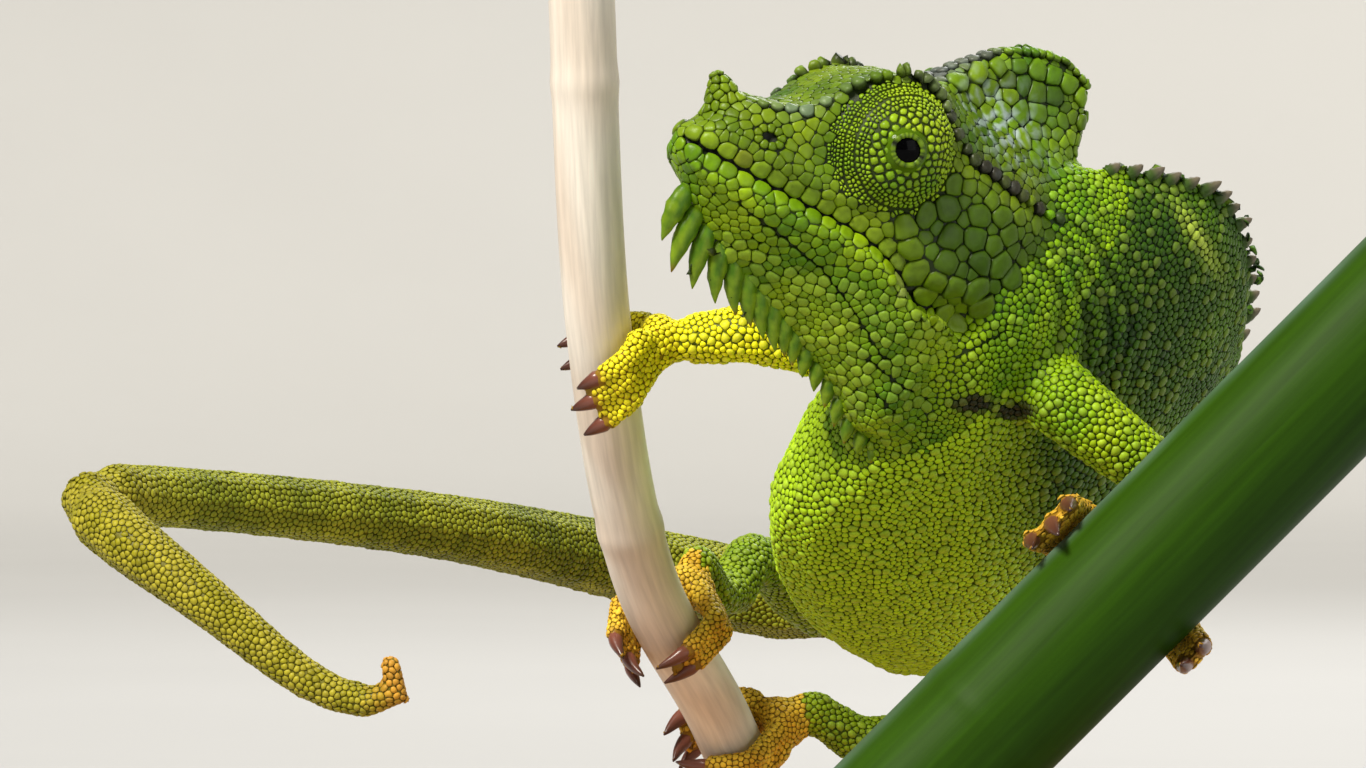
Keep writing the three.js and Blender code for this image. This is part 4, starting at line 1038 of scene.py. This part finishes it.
def paint(points, labels):
    """Colour of the scales at each place."""
    a, b, c = head_place(points).T
    _, angle = body_place(points)
    patch, fleck = mottle(points, 4.5, 0), mottle(points, 1.5, 1)

    def green(low, high, even=0.5):
        """A mottled blend of two greens."""
        return mix(linear(low), linear(high), even + 0.3 * patch + 0.2 * fleck)

    def near(place, *size):
        """A soft patch round a place, with its half-sizes along the three axes."""
        return bell(np.linalg.norm((points - (ORIGIN + place)) / size, axis=1), 0, 1)

    ridge, crown = profile(RIDGE_HEIGHT, a), profile(CROWN_HEIGHT, a)
    edge = bell(np.abs(b), profile(RIDGE_HALF, a), 0.9)
    # The head is darker on the temple, paler along the lip, grey on the snout and brow ridges, and
    # nearly black in places along the side crest.
    head = green("#406504", "#7b930a")
    head = mix(head, linear("#406004"), 0.8 * rise(-a, 3, 6) * rise(-c, -1.5, 1))
    head = mix(head, linear("#98b420"), 0.42 * bell(c, profile(LIP_HEIGHT, a), 1.5))
    head = mix(head, linear("#68787a"), 0.7 * edge * bell(a, 7.5, 2.8) * bell(c, ridge, 0.7))
    head = mix(head, linear("#4a4854"), 0.8 * edge * bell(a, -2.0, 3.2) * bell(c, ridge, 0.9))
    side_crest = bell(c, ridge, 0.7) * rise(-a, 5, 7)
    head = mix(head, linear("#2a2420"), 0.8 * side_crest * (fleck > 0.0))
    # The casque has a grey rim in front, and painted shade makes a dark band in the hollow under it.
    casque = green("#477407", "#86a514", 0.45)
    casque = mix(casque, linear("#58555f"), 0.85 * rise(c, crown - 0.9, crown - 0.2) * rise(a, -10.5, -8))
    casque = mix(casque, linear("#22380a"), 0.55 * bell(c, crown - 3.2, 0.8) * rise(-a, 5, 7))
    jaw = green("#528005", "#96b40d")
    throat = green("#4a7a04", "#8fac0e", 0.45)
    jaw = mix(jaw, throat, rise(-c, 9, 12))
    turret = green("#5f8e0a", "#aac61a")
    neck = green("#568e02", "#a0c406")
    # The trunk is darkest on the flank, partly as painted shade, lightens to the shoulder and belly, whose bright lime
    # is partly its own colour and partly painted light, and has one pale streak.
    trunk = green("#244c02", "#547c04")
    trunk = mix(trunk, neck, 0.9 * near([29, 9, -1], 7, 12, 8))
    streak = (points - (ORIGIN + [44.6, 19.4, 12.6])) @ unit(np.array([0.55, 0, -0.8]))
    aside = (points - (ORIGIN + [44.6, 19.4, 12.6])) @ unit(np.array([0.8, 0, 0.55]))
    trunk = mix(trunk, linear("#c4dc50"), 0.95 * bell(aside, 0, 0.7) * bell(streak, 0, 3.2))
    trunk = mix(trunk, linear("#b8e01a"), 0.92 * rise(np.abs(angle), 1.6, 2.5))
    neck = mix(neck, throat, 0.6 * rise(np.abs(angle), 1.9, 2.8))
    # Two dark spots lie behind the head.
    dark = np.maximum(near([24.6, 9.0, -1.7], 2.3, 12, 0.95), near([28.2, 9.0, -2.3], 2.3, 12, 0.95))
    # The tail turns from olive to ochre, and is orange at its tip.
    along = tail_share(points)
    tail = green("#6f7a12", "#a4a826")
    tail = mix(tail, mix(linear("#968e10"), linear("#aea22c"), 0.5 + 0.5 * fleck), 0.9 * rise(along, 0.62, 0.72))
    tail = mix(tail, linear("#d69a34"), 0.9 * rise(along, 0.955, 0.985))
    # The right foreleg and its foot are a bright yellow that is painted sunlight, the legs' light green is partly
    # painted light, the hind legs are olive, and the feet ochre with reddish claw roots.
    arm = mix(green("#6ea004", "#b2ce0a"), neck, 0.9 * near([31.5, 9, 3.0], 5.5, 20, 5.5))
    arm = mix(arm, linear("#fdf51c"), labelled(labels, [n for n in ARM_NODES if n.startswith("right_fore")]) * 0.96)
    arm = mix(arm, linear("#7c8a1c"), labelled(labels, [n for n in ARM_NODES if "hind" in n]) * 0.5)
    foot = mix(linear("#d8a424"), linear("#f4d040"), 0.5 + 0.4 * fleck)
    foot = mix(foot, linear("#fbf020"), labelled(labels, [n for n in FOOT_NODES if n.startswith("right_fore")]) * 0.92)
    foot = mix(foot, linear("#a85a2c"), 0.55 * rise(-distance_to(points, CLAW_ROOTS[::6], 3.5), -1.5, -0.6))
    for names, shade in [(["casque"], casque), (EYE_NODES, turret), (["lower_jaw"], jaw), (["throat"], throat),
                         (["neck"], neck), (["trunk_front", "trunk_back"], trunk), (TAIL_NODES, tail),
                         (ARM_NODES, arm), (FOOT_NODES, foot)]:
        head = np.where(labelled(labels, names)[:, None], shade, head)
    # On the left side the lips carry a brown mark in front and a pale one behind.
    slit = (b > 0) * bell(c, profile(LIP_HEIGHT, a) - SLIT_DROP, 0.8)
    head = mix(head, linear("#5a2c1e"), 0.8 * slit * bell(a, 10.2, 0.55))
    head = mix(head, linear("#b4a284"), 0.6 * slit * bell(a, -6.6, 0.7))
    return mix(head, linear("#1e1018"), 0.95 * rise(dark, 0.2, 0.75))


def casque_painted_reflection(points):
    """Share of pale blue-grey at each place: a painted reflection, in fine flecks of painted sheen on the flat plates
    of the casque.
    """
    a, _, c = head_place(points).T
    place = bell(a, -10.6, 4.4) * bell(c, 7.2 + 0.1 * (a + 10), 2.8)
    return 0.8 * place * rise(mottle(points, 0.55, 1) + 0.4 * mottle(points, 1.6, 0), 0.0, 0.8)


def groove(labels):
    """Colour of the skin between the scales: a dark tone, partly the skin's own and partly painted shade in the
    grooves.
    """
    return np.select([labelled(labels, TAIL_NODES)[:, None], labelled(labels, ARM_NODES)[:, None],
                      labelled(labels, FOOT_NODES)[:, None], labelled(labels, BODY_NODES)[:, None]],
                     [linear("#64600e"), linear("#3c5006"), linear("#8a6414"), linear("#142806")], linear("#0a1403"))


# ---- materials ----

# Sockets whose label several share, by number, and the settings that multiply two colours.
MIX_SHARE, MIX_FIRST, MIX_SECOND, MIX_RESULT = 0, 6, 7, 2
MULTIPLY = {"data_type": "RGBA", "blend_type": "MULTIPLY"}


def add(tree, kind, inputs=(), **settings):
    """Adds one shader node: settings are its options, and an input is a value or another's output."""
    node = tree.nodes.new("ShaderNode" + kind)
    for key, value in settings.items():
        setattr(node, key, value)
    for socket, value in dict(inputs).items():
        if isinstance(value, bpy.types.NodeSocket):
            tree.links.new(value, node.inputs[socket])
        else:
            node.inputs[socket].default_value = value
    return node


def new_material(name):
    """A material with nothing in its tree but the output."""
    material = bpy.data.materials.new(name)
    material.use_nodes = True
    tree = material.node_tree
    tree.nodes.clear()
    return material, tree, add(tree, "OutputMaterial")


CLOUD_WIDTH, PIT_DEPTH = 0.9 * MM, 0.05 * MM


def scaly_keratin(name, roughness, grain):
    """Keratin scales over soft skin, grown in the living animal: a waxy half-gloss on each scale,
    a colour that strays a little from scale to scale, and a fine pitted grain in mm."""
    material, tree, output = new_material(name)
    place = add(tree, "TexCoord").outputs["Object"]
    tint = add(tree, "VertexColor", layer_name="tint").outputs["Color"]
    cloud = add(tree, "TexNoise", {"Vector": place, "Scale": 1 / CLOUD_WIDTH, "Detail": 2}).outputs["Fac"]
    spread = add(tree, "MapRange", {
        "Value": cloud, "From Min": 0.3, "From Max": 0.7, "To Min": 0.84, "To Max": 1.16,
    }).outputs[0]
    colour = add(tree, "Mix", {MIX_SHARE: 1.0, MIX_FIRST: tint, MIX_SECOND: spread}, **MULTIPLY).outputs[MIX_RESULT]
    pits = add(tree, "TexNoise", {"Vector": place, "Scale": 1 / (grain * MM), "Detail": 3}).outputs["Fac"]
    bump = add(tree, "Bump", {"Height": pits, "Strength": 0.35, "Distance": PIT_DEPTH}).outputs["Normal"]
    sheen = add(tree, "MapRange", {"Value": pits, "To Min": roughness - 0.08, "To Max": roughness + 0.1}).outputs[0]
    skin_shader = add(tree, "BsdfPrincipled", {
        "Base Color": colour, "Roughness": sheen, "Normal": bump, "IOR": 1.45, "Specular IOR Level": 0.3,
    })
    tree.links.new(skin_shader.outputs[0], output.inputs[0])
    return material


HEAD_SCALES = scaly_keratin("head_scales", 0.38, 0.2)
BODY_SCALES = scaly_keratin("body_granules", 0.46, 0.16)
FOOT_SCALES = scaly_keratin("foot_granules", 0.5, 0.14)
TAIL_SCALES = scaly_keratin("tail_granules", 0.48, 0.16)


def simple_tinted(name, roughness, ior, grain, shine=0.5):
    """Grown horn of a claw, worn to a half-gloss, or the wet surface of an eye, which is almost a
    mirror. The colour is painted on the mesh."""
    material, tree, output = new_material(name)
    place = add(tree, "TexCoord").outputs["Object"]
    tint = add(tree, "VertexColor", layer_name="tint").outputs["Color"]
    cloud = add(tree, "TexNoise", {"Vector": place, "Scale": 1 / (0.5 * MM), "Detail": 2}).outputs["Fac"]
    bump = add(tree, "Bump", {"Height": cloud, "Strength": grain, "Distance": 0.05 * MM}).outputs["Normal"]
    shader = add(tree, "BsdfPrincipled", {
        "Base Color": tint, "Roughness": roughness, "IOR": ior, "Specular IOR Level": shine, "Normal": bump,
    })
    tree.links.new(shader.outputs[0], output.inputs[0])
    return material


CLAW_HORN = simple_tinted("claw_horn", 0.3, 1.54, 0.2)
EYE_SURFACE = simple_tinted("wet_eye", 0.07, 1.34, 0.01, 0.12)


def plant_stem(name, streak, first, second, roughness, bump_depth, shine):
    """The outside of a cut stem, as it grew: waxy green skin or dry pale bark. Its fibres run along
    it and show as fine streaks, drawn coarser than real ones so that they show at all."""
    material, tree, output = new_material(name)
    tint = add(tree, "VertexColor", layer_name="tint").outputs["Color"]
    place = add(tree, "UVMap", uv_map="grain").outputs["UV"]
    fibre = add(tree, "TexNoise", {"Vector": add(tree, "Mapping", {"Vector": place, "Scale": streak}).outputs[0],
                                   "Scale": 1.0, "Detail": 4}).outputs["Fac"]
    ramp = add(tree, "MapRange", {
        "Value": fibre, "From Min": 0.3, "From Max": 0.7, "To Min": first, "To Max": second,
    }).outputs[0]
    colour = add(tree, "Mix", {MIX_SHARE: 1.0, MIX_FIRST: tint, MIX_SECOND: ramp}, **MULTIPLY).outputs[MIX_RESULT]
    bump = add(tree, "Bump", {"Height": fibre, "Strength": 0.5, "Distance": bump_depth * MM}).outputs["Normal"]
    shader = add(tree, "BsdfPrincipled", {
        "Base Color": colour, "Roughness": roughness, "Normal": bump, "IOR": 1.45, "Specular IOR Level": shine,
    })
    tree.links.new(shader.outputs[0], output.inputs[0])
    return material


GREEN_SKIN = plant_stem("waxy_green_stem", (1.5, 0.06, 1), 0.8, 1.2, 0.5, 0.06, 0.12)
BROWN_BARK = plant_stem("pale_dry_bark", (2.0, 0.12, 1), 0.86, 1.12, 0.6, 0.08, 0.3)


# ---- building it ----

lip_rows()
nostril_places()
eye_rings()
crest_rows()
fold_rows()
layout = fill_scales()
relax(layout, 2)
labels = layout["labels"]
layout["map"] = skin_map(layout["points"], labels)
CLAW_CLEARANCE = 0.95
drawn = (layout["kind"] != LINE) & (distance_to(layout["points"], CLAW_ROOTS, 1.5) > CLAW_CLEARANCE)

# Each scale's own shade strays from the colour of its place. Most knobs of the side crest are nearly black, the
# wrinkles' troughs are darker than their crests as painted shade, and tubercles are paler.
tint = paint(layout["points"], labels)
tint = tint * (0.86 + 0.28 * rng.random(len(tint)))[:, None]
head_a, _, head_c = head_place(layout["points"]).T
knobbed = (layout["kind"] == CREST) & (head_a < -4) & (head_c < 6) & (rng.random(len(tint)) < 0.7)
tint = np.where(knobbed[:, None], mix(tint, linear("#2a2028"), np.full(len(tint), 0.75)), tint)
tint = tint * (1 + 0.95 * np.minimum(wrinkles(layout["points"], labels), 0.2))[:, None]
tint = np.where((layout["kind"] == TUBERCLE)[:, None], mix(tint, linear("#a9bf4a"), np.full(len(tint), 0.22)), tint)


# The skin shows between the scales: dark grooves, partly the skin's own tone and partly painted shade, painted shade
# that makes the mouth's slit and the nostrils nearly black, and bare green lids round the eyes.
skin_tint = mix(paint(skin, skin_label), groove(skin_label), 0.9)
skin_tint = mix(skin_tint, linear("#040502"), bell(mouth_gap, 0, 0.4) + bell(nostril_gap, 0, 0.7))
skin_tint = mix(skin_tint, linear("#4c6a0c"), lid_skin)
skin_piece = put_mesh("skin", skin, skin_tris, BODY_SCALES, skin_tint, skin_map(skin, skin_label))
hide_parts(*FLESH)

# A scale's sides, its rings (share of the outline, share of the height, shade) and the gap round it. The low shades of
# the outer rings are painted shade, darkening each scale's edge where it dips into the groove.
GRANULE = (7, [(1.0, -0.35, 0.2), (0.84, 0.64, 1.0)], 0.0)
TURRET_GRAIN = (8, [(1.0, -0.4, 0.06), (0.74, 0.66, 1.0)], 0.045)
PLATE = (14, [(1.0, -0.45, 0.12), (0.965, 0.42, 0.6), (0.85, 0.82, 1.04), (0.45, 0.97, 1.0)], 0.0)
GROUPS = [
    ("head_plates", ["head", "casque", "rostral_horn"], "head_skin", HEAD_SCALES, PLATE),
    ("jaw_plates", ["lower_jaw"], "head_skin", HEAD_SCALES, PLATE),
    ("throat_plates", ["throat"], "head_skin", HEAD_SCALES, PLATE),
    ("eye_granules", EYE_NODES, "head_skin", HEAD_SCALES, TURRET_GRAIN),
    ("neck_granules", ["neck"], "body_skin", BODY_SCALES, GRANULE),
    ("front_trunk_granules", ["trunk_front"], "body_skin", BODY_SCALES, GRANULE),
    ("back_trunk_granules", ["trunk_back"], "body_skin", BODY_SCALES, GRANULE),
    ("foreleg_granules", [name for name in ARM_NODES if "fore" in name], "body_skin", BODY_SCALES, GRANULE),
    ("hindleg_granules", [name for name in ARM_NODES if "hind" in name], "body_skin", BODY_SCALES, GRANULE),
    ("foot_granules", FOOT_NODES, "foot_skin", FOOT_SCALES, GRANULE),
    ("near_tail_granules", TAIL_NODES[:2], "tail_skin", TAIL_SCALES, GRANULE),
    ("far_tail_granules", TAIL_NODES[2:], "tail_skin", TAIL_SCALES, GRANULE),
]
for name, nodes, slot, material, (sides, rings, gap) in GROUPS:
    scale_piece(name, layout, drawn & labelled(labels, nodes), material, sides, rings, gap, tint)

spine_foot, spine_way, spine_tall, spine_wide = beard_line()
points, faces = spikes(spine_foot, spine_way, spine_tall, spine_wide * 1.12,
                       [(0, 0.75), (0.3, 1.0), (0.55, 0.86), (0.85, 0.38), (1, 0.05)], BEARD_AROUND, FORWARD, 0.7)
along_spine = share_along(SPINE_ROWS, BEARD_AROUND, BEARD_SPINES)
brown_tip = np.repeat(rng.random(BEARD_SPINES) < 0.35, len(along_spine) // BEARD_SPINES)
shade = mix(linear("#48700a"), linear("#7c981a"), along_spine + 0.5 * mottle(points, 0.5, 1))
shade = mix(shade, linear("#9a5a24"), 0.7 * brown_tip * rise(along_spine, 0.85, 1.0))
put_mesh("beard_spines", points, faces, HEAD_SCALES, shade, plain_map(head_place(points), 0.01))
crest_foot, crest_way, crest_tall, crest_wide = crest_line()
crest_tall = crest_tall * (0.62 + 0.5 * rng.random(CREST_SPINES))
points, faces = spikes(crest_foot, crest_way, crest_tall, crest_wide * 0.85,
                       [(0, 1.0), (0.3, 0.95), (0.7, 0.6), (0.92, 0.3), (1, 0.05)], CREST_AROUND, BODY_ALONG[120], 0.4)
along_spine = share_along(SPINE_ROWS, CREST_AROUND, CREST_SPINES)
put_mesh("back_spines", points, faces, BODY_SCALES,
         mix(linear("#35500e"), linear("#6f6654"), rise(along_spine, 0.2, 0.8)), plain_map(points))

points, faces = claws()
claw_share = share_along(CLAW_ROWS, CLAW_AROUND, len(TOES))
put_mesh("claws", points, faces, CLAW_HORN, mix(linear("#8a5040"), linear("#3c2018"), claw_share),
         plain_map(points))


EYE_ROWS, EYE_AROUND, LID_STEPS, LID_AROUND = 30, 48, 120, 12


def eyeball(name, centre, up, out, gaze):
    """The eye: a dark ball whose surface shows in the gap between the lids. A faint brown ring marks
    its rim, and past the lids' inner edge it takes their green."""
    outward = gaze @ out
    surface = 1 / np.hypot(outward / EYE_BULGE, np.sqrt(1 - outward**2) / EYE_RADIUS)
    middle = centre + gaze * (surface - np.sqrt(EYEBALL_RADIUS**2 - LID_OPENING**2))
    side = unit(np.cross(gaze, up))
    top = np.cross(side, gaze)
    depth, turn = np.meshgrid(np.linspace(0.03, 1.4, EYE_ROWS), around_full_turn(EYE_AROUND), indexing="ij")
    ring = np.cos(turn)[..., None] * side + np.sin(turn)[..., None] * top
    ball = middle + EYEBALL_RADIUS * (np.cos(depth)[..., None] * gaze + np.sin(depth)[..., None] * ring)
    points = np.vstack([ball.reshape(-1, 3), middle + EYEBALL_RADIUS * gaze, middle])
    quads, fans = rings_closed(EYE_ROWS, EYE_AROUND)
    away = np.linalg.norm(np.cross(points - middle, gaze), axis=1)
    shade = mix(linear("#020203"), linear("#4a3a12"), 0.5 * bell(away, 1.14, 0.04))
    shade = mix(shade, linear("#4c6a0c"), rise(away, 1.2, 1.26))
    piece = put_mesh(name + "_eye", points, [quads, fans], EYE_SURFACE, shade, plain_map(points))
    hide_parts(name + "_eyeball")
    return middle, side, top


def lid_rim(name, middle, side, top, gaze):
    """The lids' edge: a narrow ring round the opening, with shallow folds across it and a dark seam
    at each corner where the upper lid meets the lower."""
    turn, tube = around_full_turn(LID_STEPS), around_full_turn(LID_AROUND)
    corner = bell(np.abs(np.sin(turn)), 0, 0.22)
    spokes = np.abs(np.sin(8 * turn + 1.4 * np.sin(3 * turn)))
    wide = 1.27 + 0.2 * np.cos(tube)[None] * (1 + 0.15 * spokes)[:, None] + 0.03 * np.cos(2 * turn)[:, None]
    high = 0.15 * np.sin(tube)[None] * (0.75 + 0.3 * spokes - 0.55 * corner)[:, None]
    level = np.sqrt(EYEBALL_RADIUS**2 - LID_OPENING**2) + 0.1 - 0.1 * (wide - 1.1) ** 2 + high
    ring = np.cos(turn)[:, None, None] * side + np.sin(turn)[:, None, None] * top
    points = (middle + level[..., None] * gaze + wide[..., None] * ring).reshape(-1, 3)
    shade = mix(linear("#2c4405"), linear("#6a8812"), np.repeat(0.1 + 0.9 * spokes, LID_AROUND))
    shade = mix(shade, linear("#0a0d04"), np.repeat(corner, LID_AROUND) * 0.95)
    quads = ring_quads(LID_STEPS, LID_AROUND, loop=True)
    put_mesh(name + "_lids", points, quads, HEAD_SCALES, shade, plain_map(points))


for word, (centre, _, up, out, gaze) in (("left", EYES[1]), ("right", EYES[-1])):
    middle, side, top = eyeball(word, centre, up, out, gaze)
    lid_rim(word, middle, side, top, gaze)

# ---- plant stems ----


def stem_piece(name, stem, node, material, colours, rows, around, swell):
    """A cut stem: a tube along its line with flat cut ends, swollen a little at its nodes. Its own
    map, in millimetres round it and along it, carries the grain."""
    share = np.r_[0, 0, np.linspace(0.002, 0.998, rows), 1, 1]
    turn = around_full_turn(around)
    size = np.r_[0.02, 0.93, np.ones(rows), 0.93, 0.02] * stem["radius"]
    reach = size[:, None] * (1 + swell(share)[:, None] + 0.006 * np.cos(5 * turn + 4 * share[:, None]))
    points, quads, tris = sweep(stem["line"], share, reach, np.array([0.1, 1, 0.05]))
    angle = np.r_[np.tile(turn, len(share)), 0, 0]
    along = np.r_[np.repeat(share, around), 0, 1]
    length = np.linalg.norm(np.diff(travel(stem["line"], np.linspace(0, 1, 60))[0], axis=0), axis=1).sum()
    piece = put_mesh(name, points, [quads, tris], material, colours(along, points))
    layer = piece.data.uv_layers.new(name="grain")
    corner = np.empty(len(piece.data.loops), np.int32)
    piece.data.loops.foreach_get("vertex_index", corner)
    wrap = np.stack([np.cos(angle) * stem["radius"] + 20, along * length], axis=1)
    layer.data.foreach_set("uv", wrap[corner].astype(np.float32).ravel())
    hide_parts(node)


def green_colours(along, points):
    """Dark green, lighter on the upper left as painted light, with a thin pale painted sheen along that side."""
    across = unit(np.array([-1.0, 0.0, 1.0]))
    place, _ = travel(FRONT_STEM["line"], along)
    facing = unit(points - place) @ across
    body = mix(linear("#1c3a01"), linear("#2c4c03"), 0.5 + 0.5 * facing)
    painted_sheen = bell(facing, 1.0, 0.05) * (0.7 + 0.3 * mottle(points, 4.0, 1))
    return mix(body, linear("#5c7862"), painted_sheen)


def brown_colours(along, points):
    """Pale dry bark with soft long patches."""
    return mix(linear("#e6d6c6"), linear("#fbf4ea"), 0.5 + 0.4 * mottle(points * [1, 1, 0.3], 3.0, 2))


stem_piece("green_stem_skin", FRONT_STEM, "front_stem", GREEN_SKIN, green_colours, 120, 64,
           lambda share: 0.012 * bell(share, 0.2, 0.01))
stem_piece("brown_stem_bark", BACK_STEM, "back_stem", BROWN_BARK, brown_colours, 160, 32,
           lambda share: 0.06 * bell(share, 0.55, 0.012) + 0.05 * bell(share, 0.12, 0.012))

# ---- stand ----

# Stainless steel rod, brushed as it turned: a soft grey gloss with lines round it, 0.1 mm apart.
steel, tree, output = new_material("brushed_stainless_steel")
place = add(tree, "TexCoord").outputs["Object"]
lines = add(tree, "TexNoise", {"Vector": add(tree, "Mapping", {"Vector": place, "Scale": (300, 300, 9000)}).outputs[0],
                               "Scale": 1.0, "Detail": 3}).outputs["Fac"]
bump = add(tree, "Bump", {"Height": lines, "Strength": 0.2, "Distance": 0.03 * MM}).outputs["Normal"]
rough = add(tree, "MapRange", {"Value": lines, "To Min": 0.24, "To Max": 0.42}).outputs[0]
metal = add(tree, "BsdfPrincipled", {
    "Base Color": (*linear("#c4c6c8"), 1), "Metallic": 1.0, "Roughness": rough, "Normal": bump,
})
tree.links.new(metal.outputs[0], output.inputs[0])

# Oak, planed and oiled: a warm half-gloss, a figure some 6 mm wide along the grain, and pores of
# about 0.4 mm, drawn coarser than real ones so that they show.
oak, tree, output = new_material("oiled_oak")
place = add(tree, "TexCoord").outputs["Object"]
stretched = add(tree, "Mapping", {"Vector": place, "Scale": (12, 160, 160)}).outputs[0]
warp = add(tree, "TexNoise", {"Vector": stretched, "Scale": 1.0, "Detail": 5, "Distortion": 0.6}).outputs["Fac"]
pores = add(tree, "TexNoise", {"Vector": add(tree, "Mapping", {"Vector": place, "Scale": (150, 2500, 2500)}).outputs[0],
                               "Scale": 1.0, "Detail": 2}).outputs["Fac"]
colour = add(tree, "ValToRGB", {"Fac": warp})
colour.color_ramp.elements[0].position, colour.color_ramp.elements[1].position = 0.3, 0.7
colour.color_ramp.elements[0].color = (*linear("#8a5a30"), 1)
colour.color_ramp.elements[1].color = (*linear("#c39560"), 1)
dark = add(tree, "MapRange", {
    "Value": pores, "From Min": 0.35, "From Max": 0.5, "To Min": 0.7, "To Max": 1.0,
}).outputs[0]
figure = colour.outputs[0]
mixed = add(tree, "Mix", {MIX_SHARE: 1.0, MIX_FIRST: figure, MIX_SECOND: dark}, **MULTIPLY).outputs[MIX_RESULT]
bump = add(tree, "Bump", {"Height": pores, "Strength": 0.3, "Distance": 0.05 * MM}).outputs["Normal"]
wood = add(tree, "BsdfPrincipled", {"Base Color": mixed, "Roughness": 0.45, "Normal": bump, "IOR": 1.5})
tree.links.new(wood.outputs[0], output.inputs[0])
for name in ("stand_rod_front", "stand_collar_front", "stand_rod_back", "stand_collar_back"):
    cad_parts[name].data.materials[0] = steel
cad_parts["stand_base"].data.materials[0] = oak

# ---- floor, light and camera ----

# Emulsion paint on a smooth studio floor: pale grey and matt, hardly clouded.
plaster, tree, output = new_material("pale_painted_floor")
place = add(tree, "TexCoord").outputs["Object"]
cloud = add(tree, "TexNoise", {"Vector": place, "Scale": 6.0, "Detail": 3}).outputs["Fac"]
tone = add(tree, "MapRange", {"Value": cloud, "To Min": 0.46, "To Max": 0.49}).outputs[0]
paint_shader = add(tree, "BsdfPrincipled", {"Base Color": tone, "Roughness": 0.8})
tree.links.new(paint_shader.outputs[0], output.inputs[0])
# The floor is a disc that bends up into a low round wall: a profile turned about the middle.
FLOOR_REACH, FLOOR_BEND, FLOOR_WALL, FLOOR_AROUND, FLOOR_RINGS = 2300, 800, 1600, 96, 12
bend = np.pi / 2 * np.linspace(0, 1, 24)
wide = np.r_[np.linspace(20, FLOOR_REACH, FLOOR_RINGS), FLOOR_REACH + FLOOR_BEND * np.sin(bend[1:]),
             FLOOR_REACH + FLOOR_BEND]
high = np.r_[np.zeros(FLOOR_RINGS), FLOOR_BEND - FLOOR_BEND * np.cos(bend[1:]), FLOOR_WALL]
turn = around_full_turn(FLOOR_AROUND)
points = np.stack([wide[:, None] * np.cos(turn), wide[:, None] * np.sin(turn),
                   high[:, None] * np.ones(FLOOR_AROUND)], axis=-1)
middle_fan = [[len(wide) * FLOOR_AROUND, i, (i + 1) % FLOOR_AROUND] for i in range(FLOOR_AROUND)]
mesh = bpy.data.meshes.new("studio_floor")
mesh.from_pydata((np.vstack([points.reshape(-1, 3), [[0, 0, 0]]]) * MM).tolist(), [],
                 ring_quads(len(wide), FLOOR_AROUND).tolist() + middle_fan)
mesh.polygons.foreach_set("use_smooth", np.ones(len(mesh.polygons), bool))
mesh.materials.append(plaster)
floor = bpy.data.objects.new("studio_floor", mesh)
bpy.context.scene.collection.objects.link(floor)


def area_light(name, place, target, power, size, colour):
    """A square soft box that faces the target."""
    data = bpy.data.lights.new(name, "AREA")
    data.energy, data.size, data.color = power, size, linear(colour)
    lamp = bpy.data.objects.new(name, data)
    lamp.location = place
    lamp.rotation_euler = (Vector(target) - Vector(place)).to_track_quat("-Z", "Y").to_euler()
    bpy.context.scene.collection.objects.link(lamp)


# A broad high light from the front left, a soft box on the right, one behind, and a faint sky.
sun = bpy.data.objects.new("top_light", bpy.data.lights.new("top_light", "SUN"))
sun.data.energy, sun.data.angle, sun.data.color = 4.3, np.radians(16), linear("#fff9ec")
sun.rotation_euler = Vector((-0.5, -0.62, 0.9)).to_track_quat("Z", "Y").to_euler()
bpy.context.scene.collection.objects.link(sun)
area_light("fill_light", (0.7, -0.8, 0.35), (0, 0, 0.07), 2.4, 0.7, "#f4f6f6")
area_light("rim_light", (0.3, 0.8, 0.7), (0, 0, 0.07), 4.0, 0.5, "#ffffff")
world = bpy.data.worlds.new("studio_air")
world.use_nodes = True
world.node_tree.nodes["Background"].inputs[0].default_value = (*linear("#f4f6f8"), 1)
world.node_tree.nodes["Background"].inputs[1].default_value = 0.24
bpy.context.scene.world = world
bpy.context.scene.view_settings.view_transform = "Standard"

# The camera looks level along +Y at the head from half a metre in front of it.
CAMERA_PLACE, LENS, SENSOR_WIDTH = (-0.016, -0.536, 0.062), 158.13, 36
camera_data = bpy.data.cameras.new("camera")
camera_data.lens, camera_data.sensor_width = LENS, SENSOR_WIDTH
camera = bpy.data.objects.new("camera", camera_data)
camera.location = CAMERA_PLACE
camera.rotation_euler = (np.pi / 2, 0, 0)
bpy.context.scene.collection.objects.link(camera)
bpy.context.scene.camera = camera
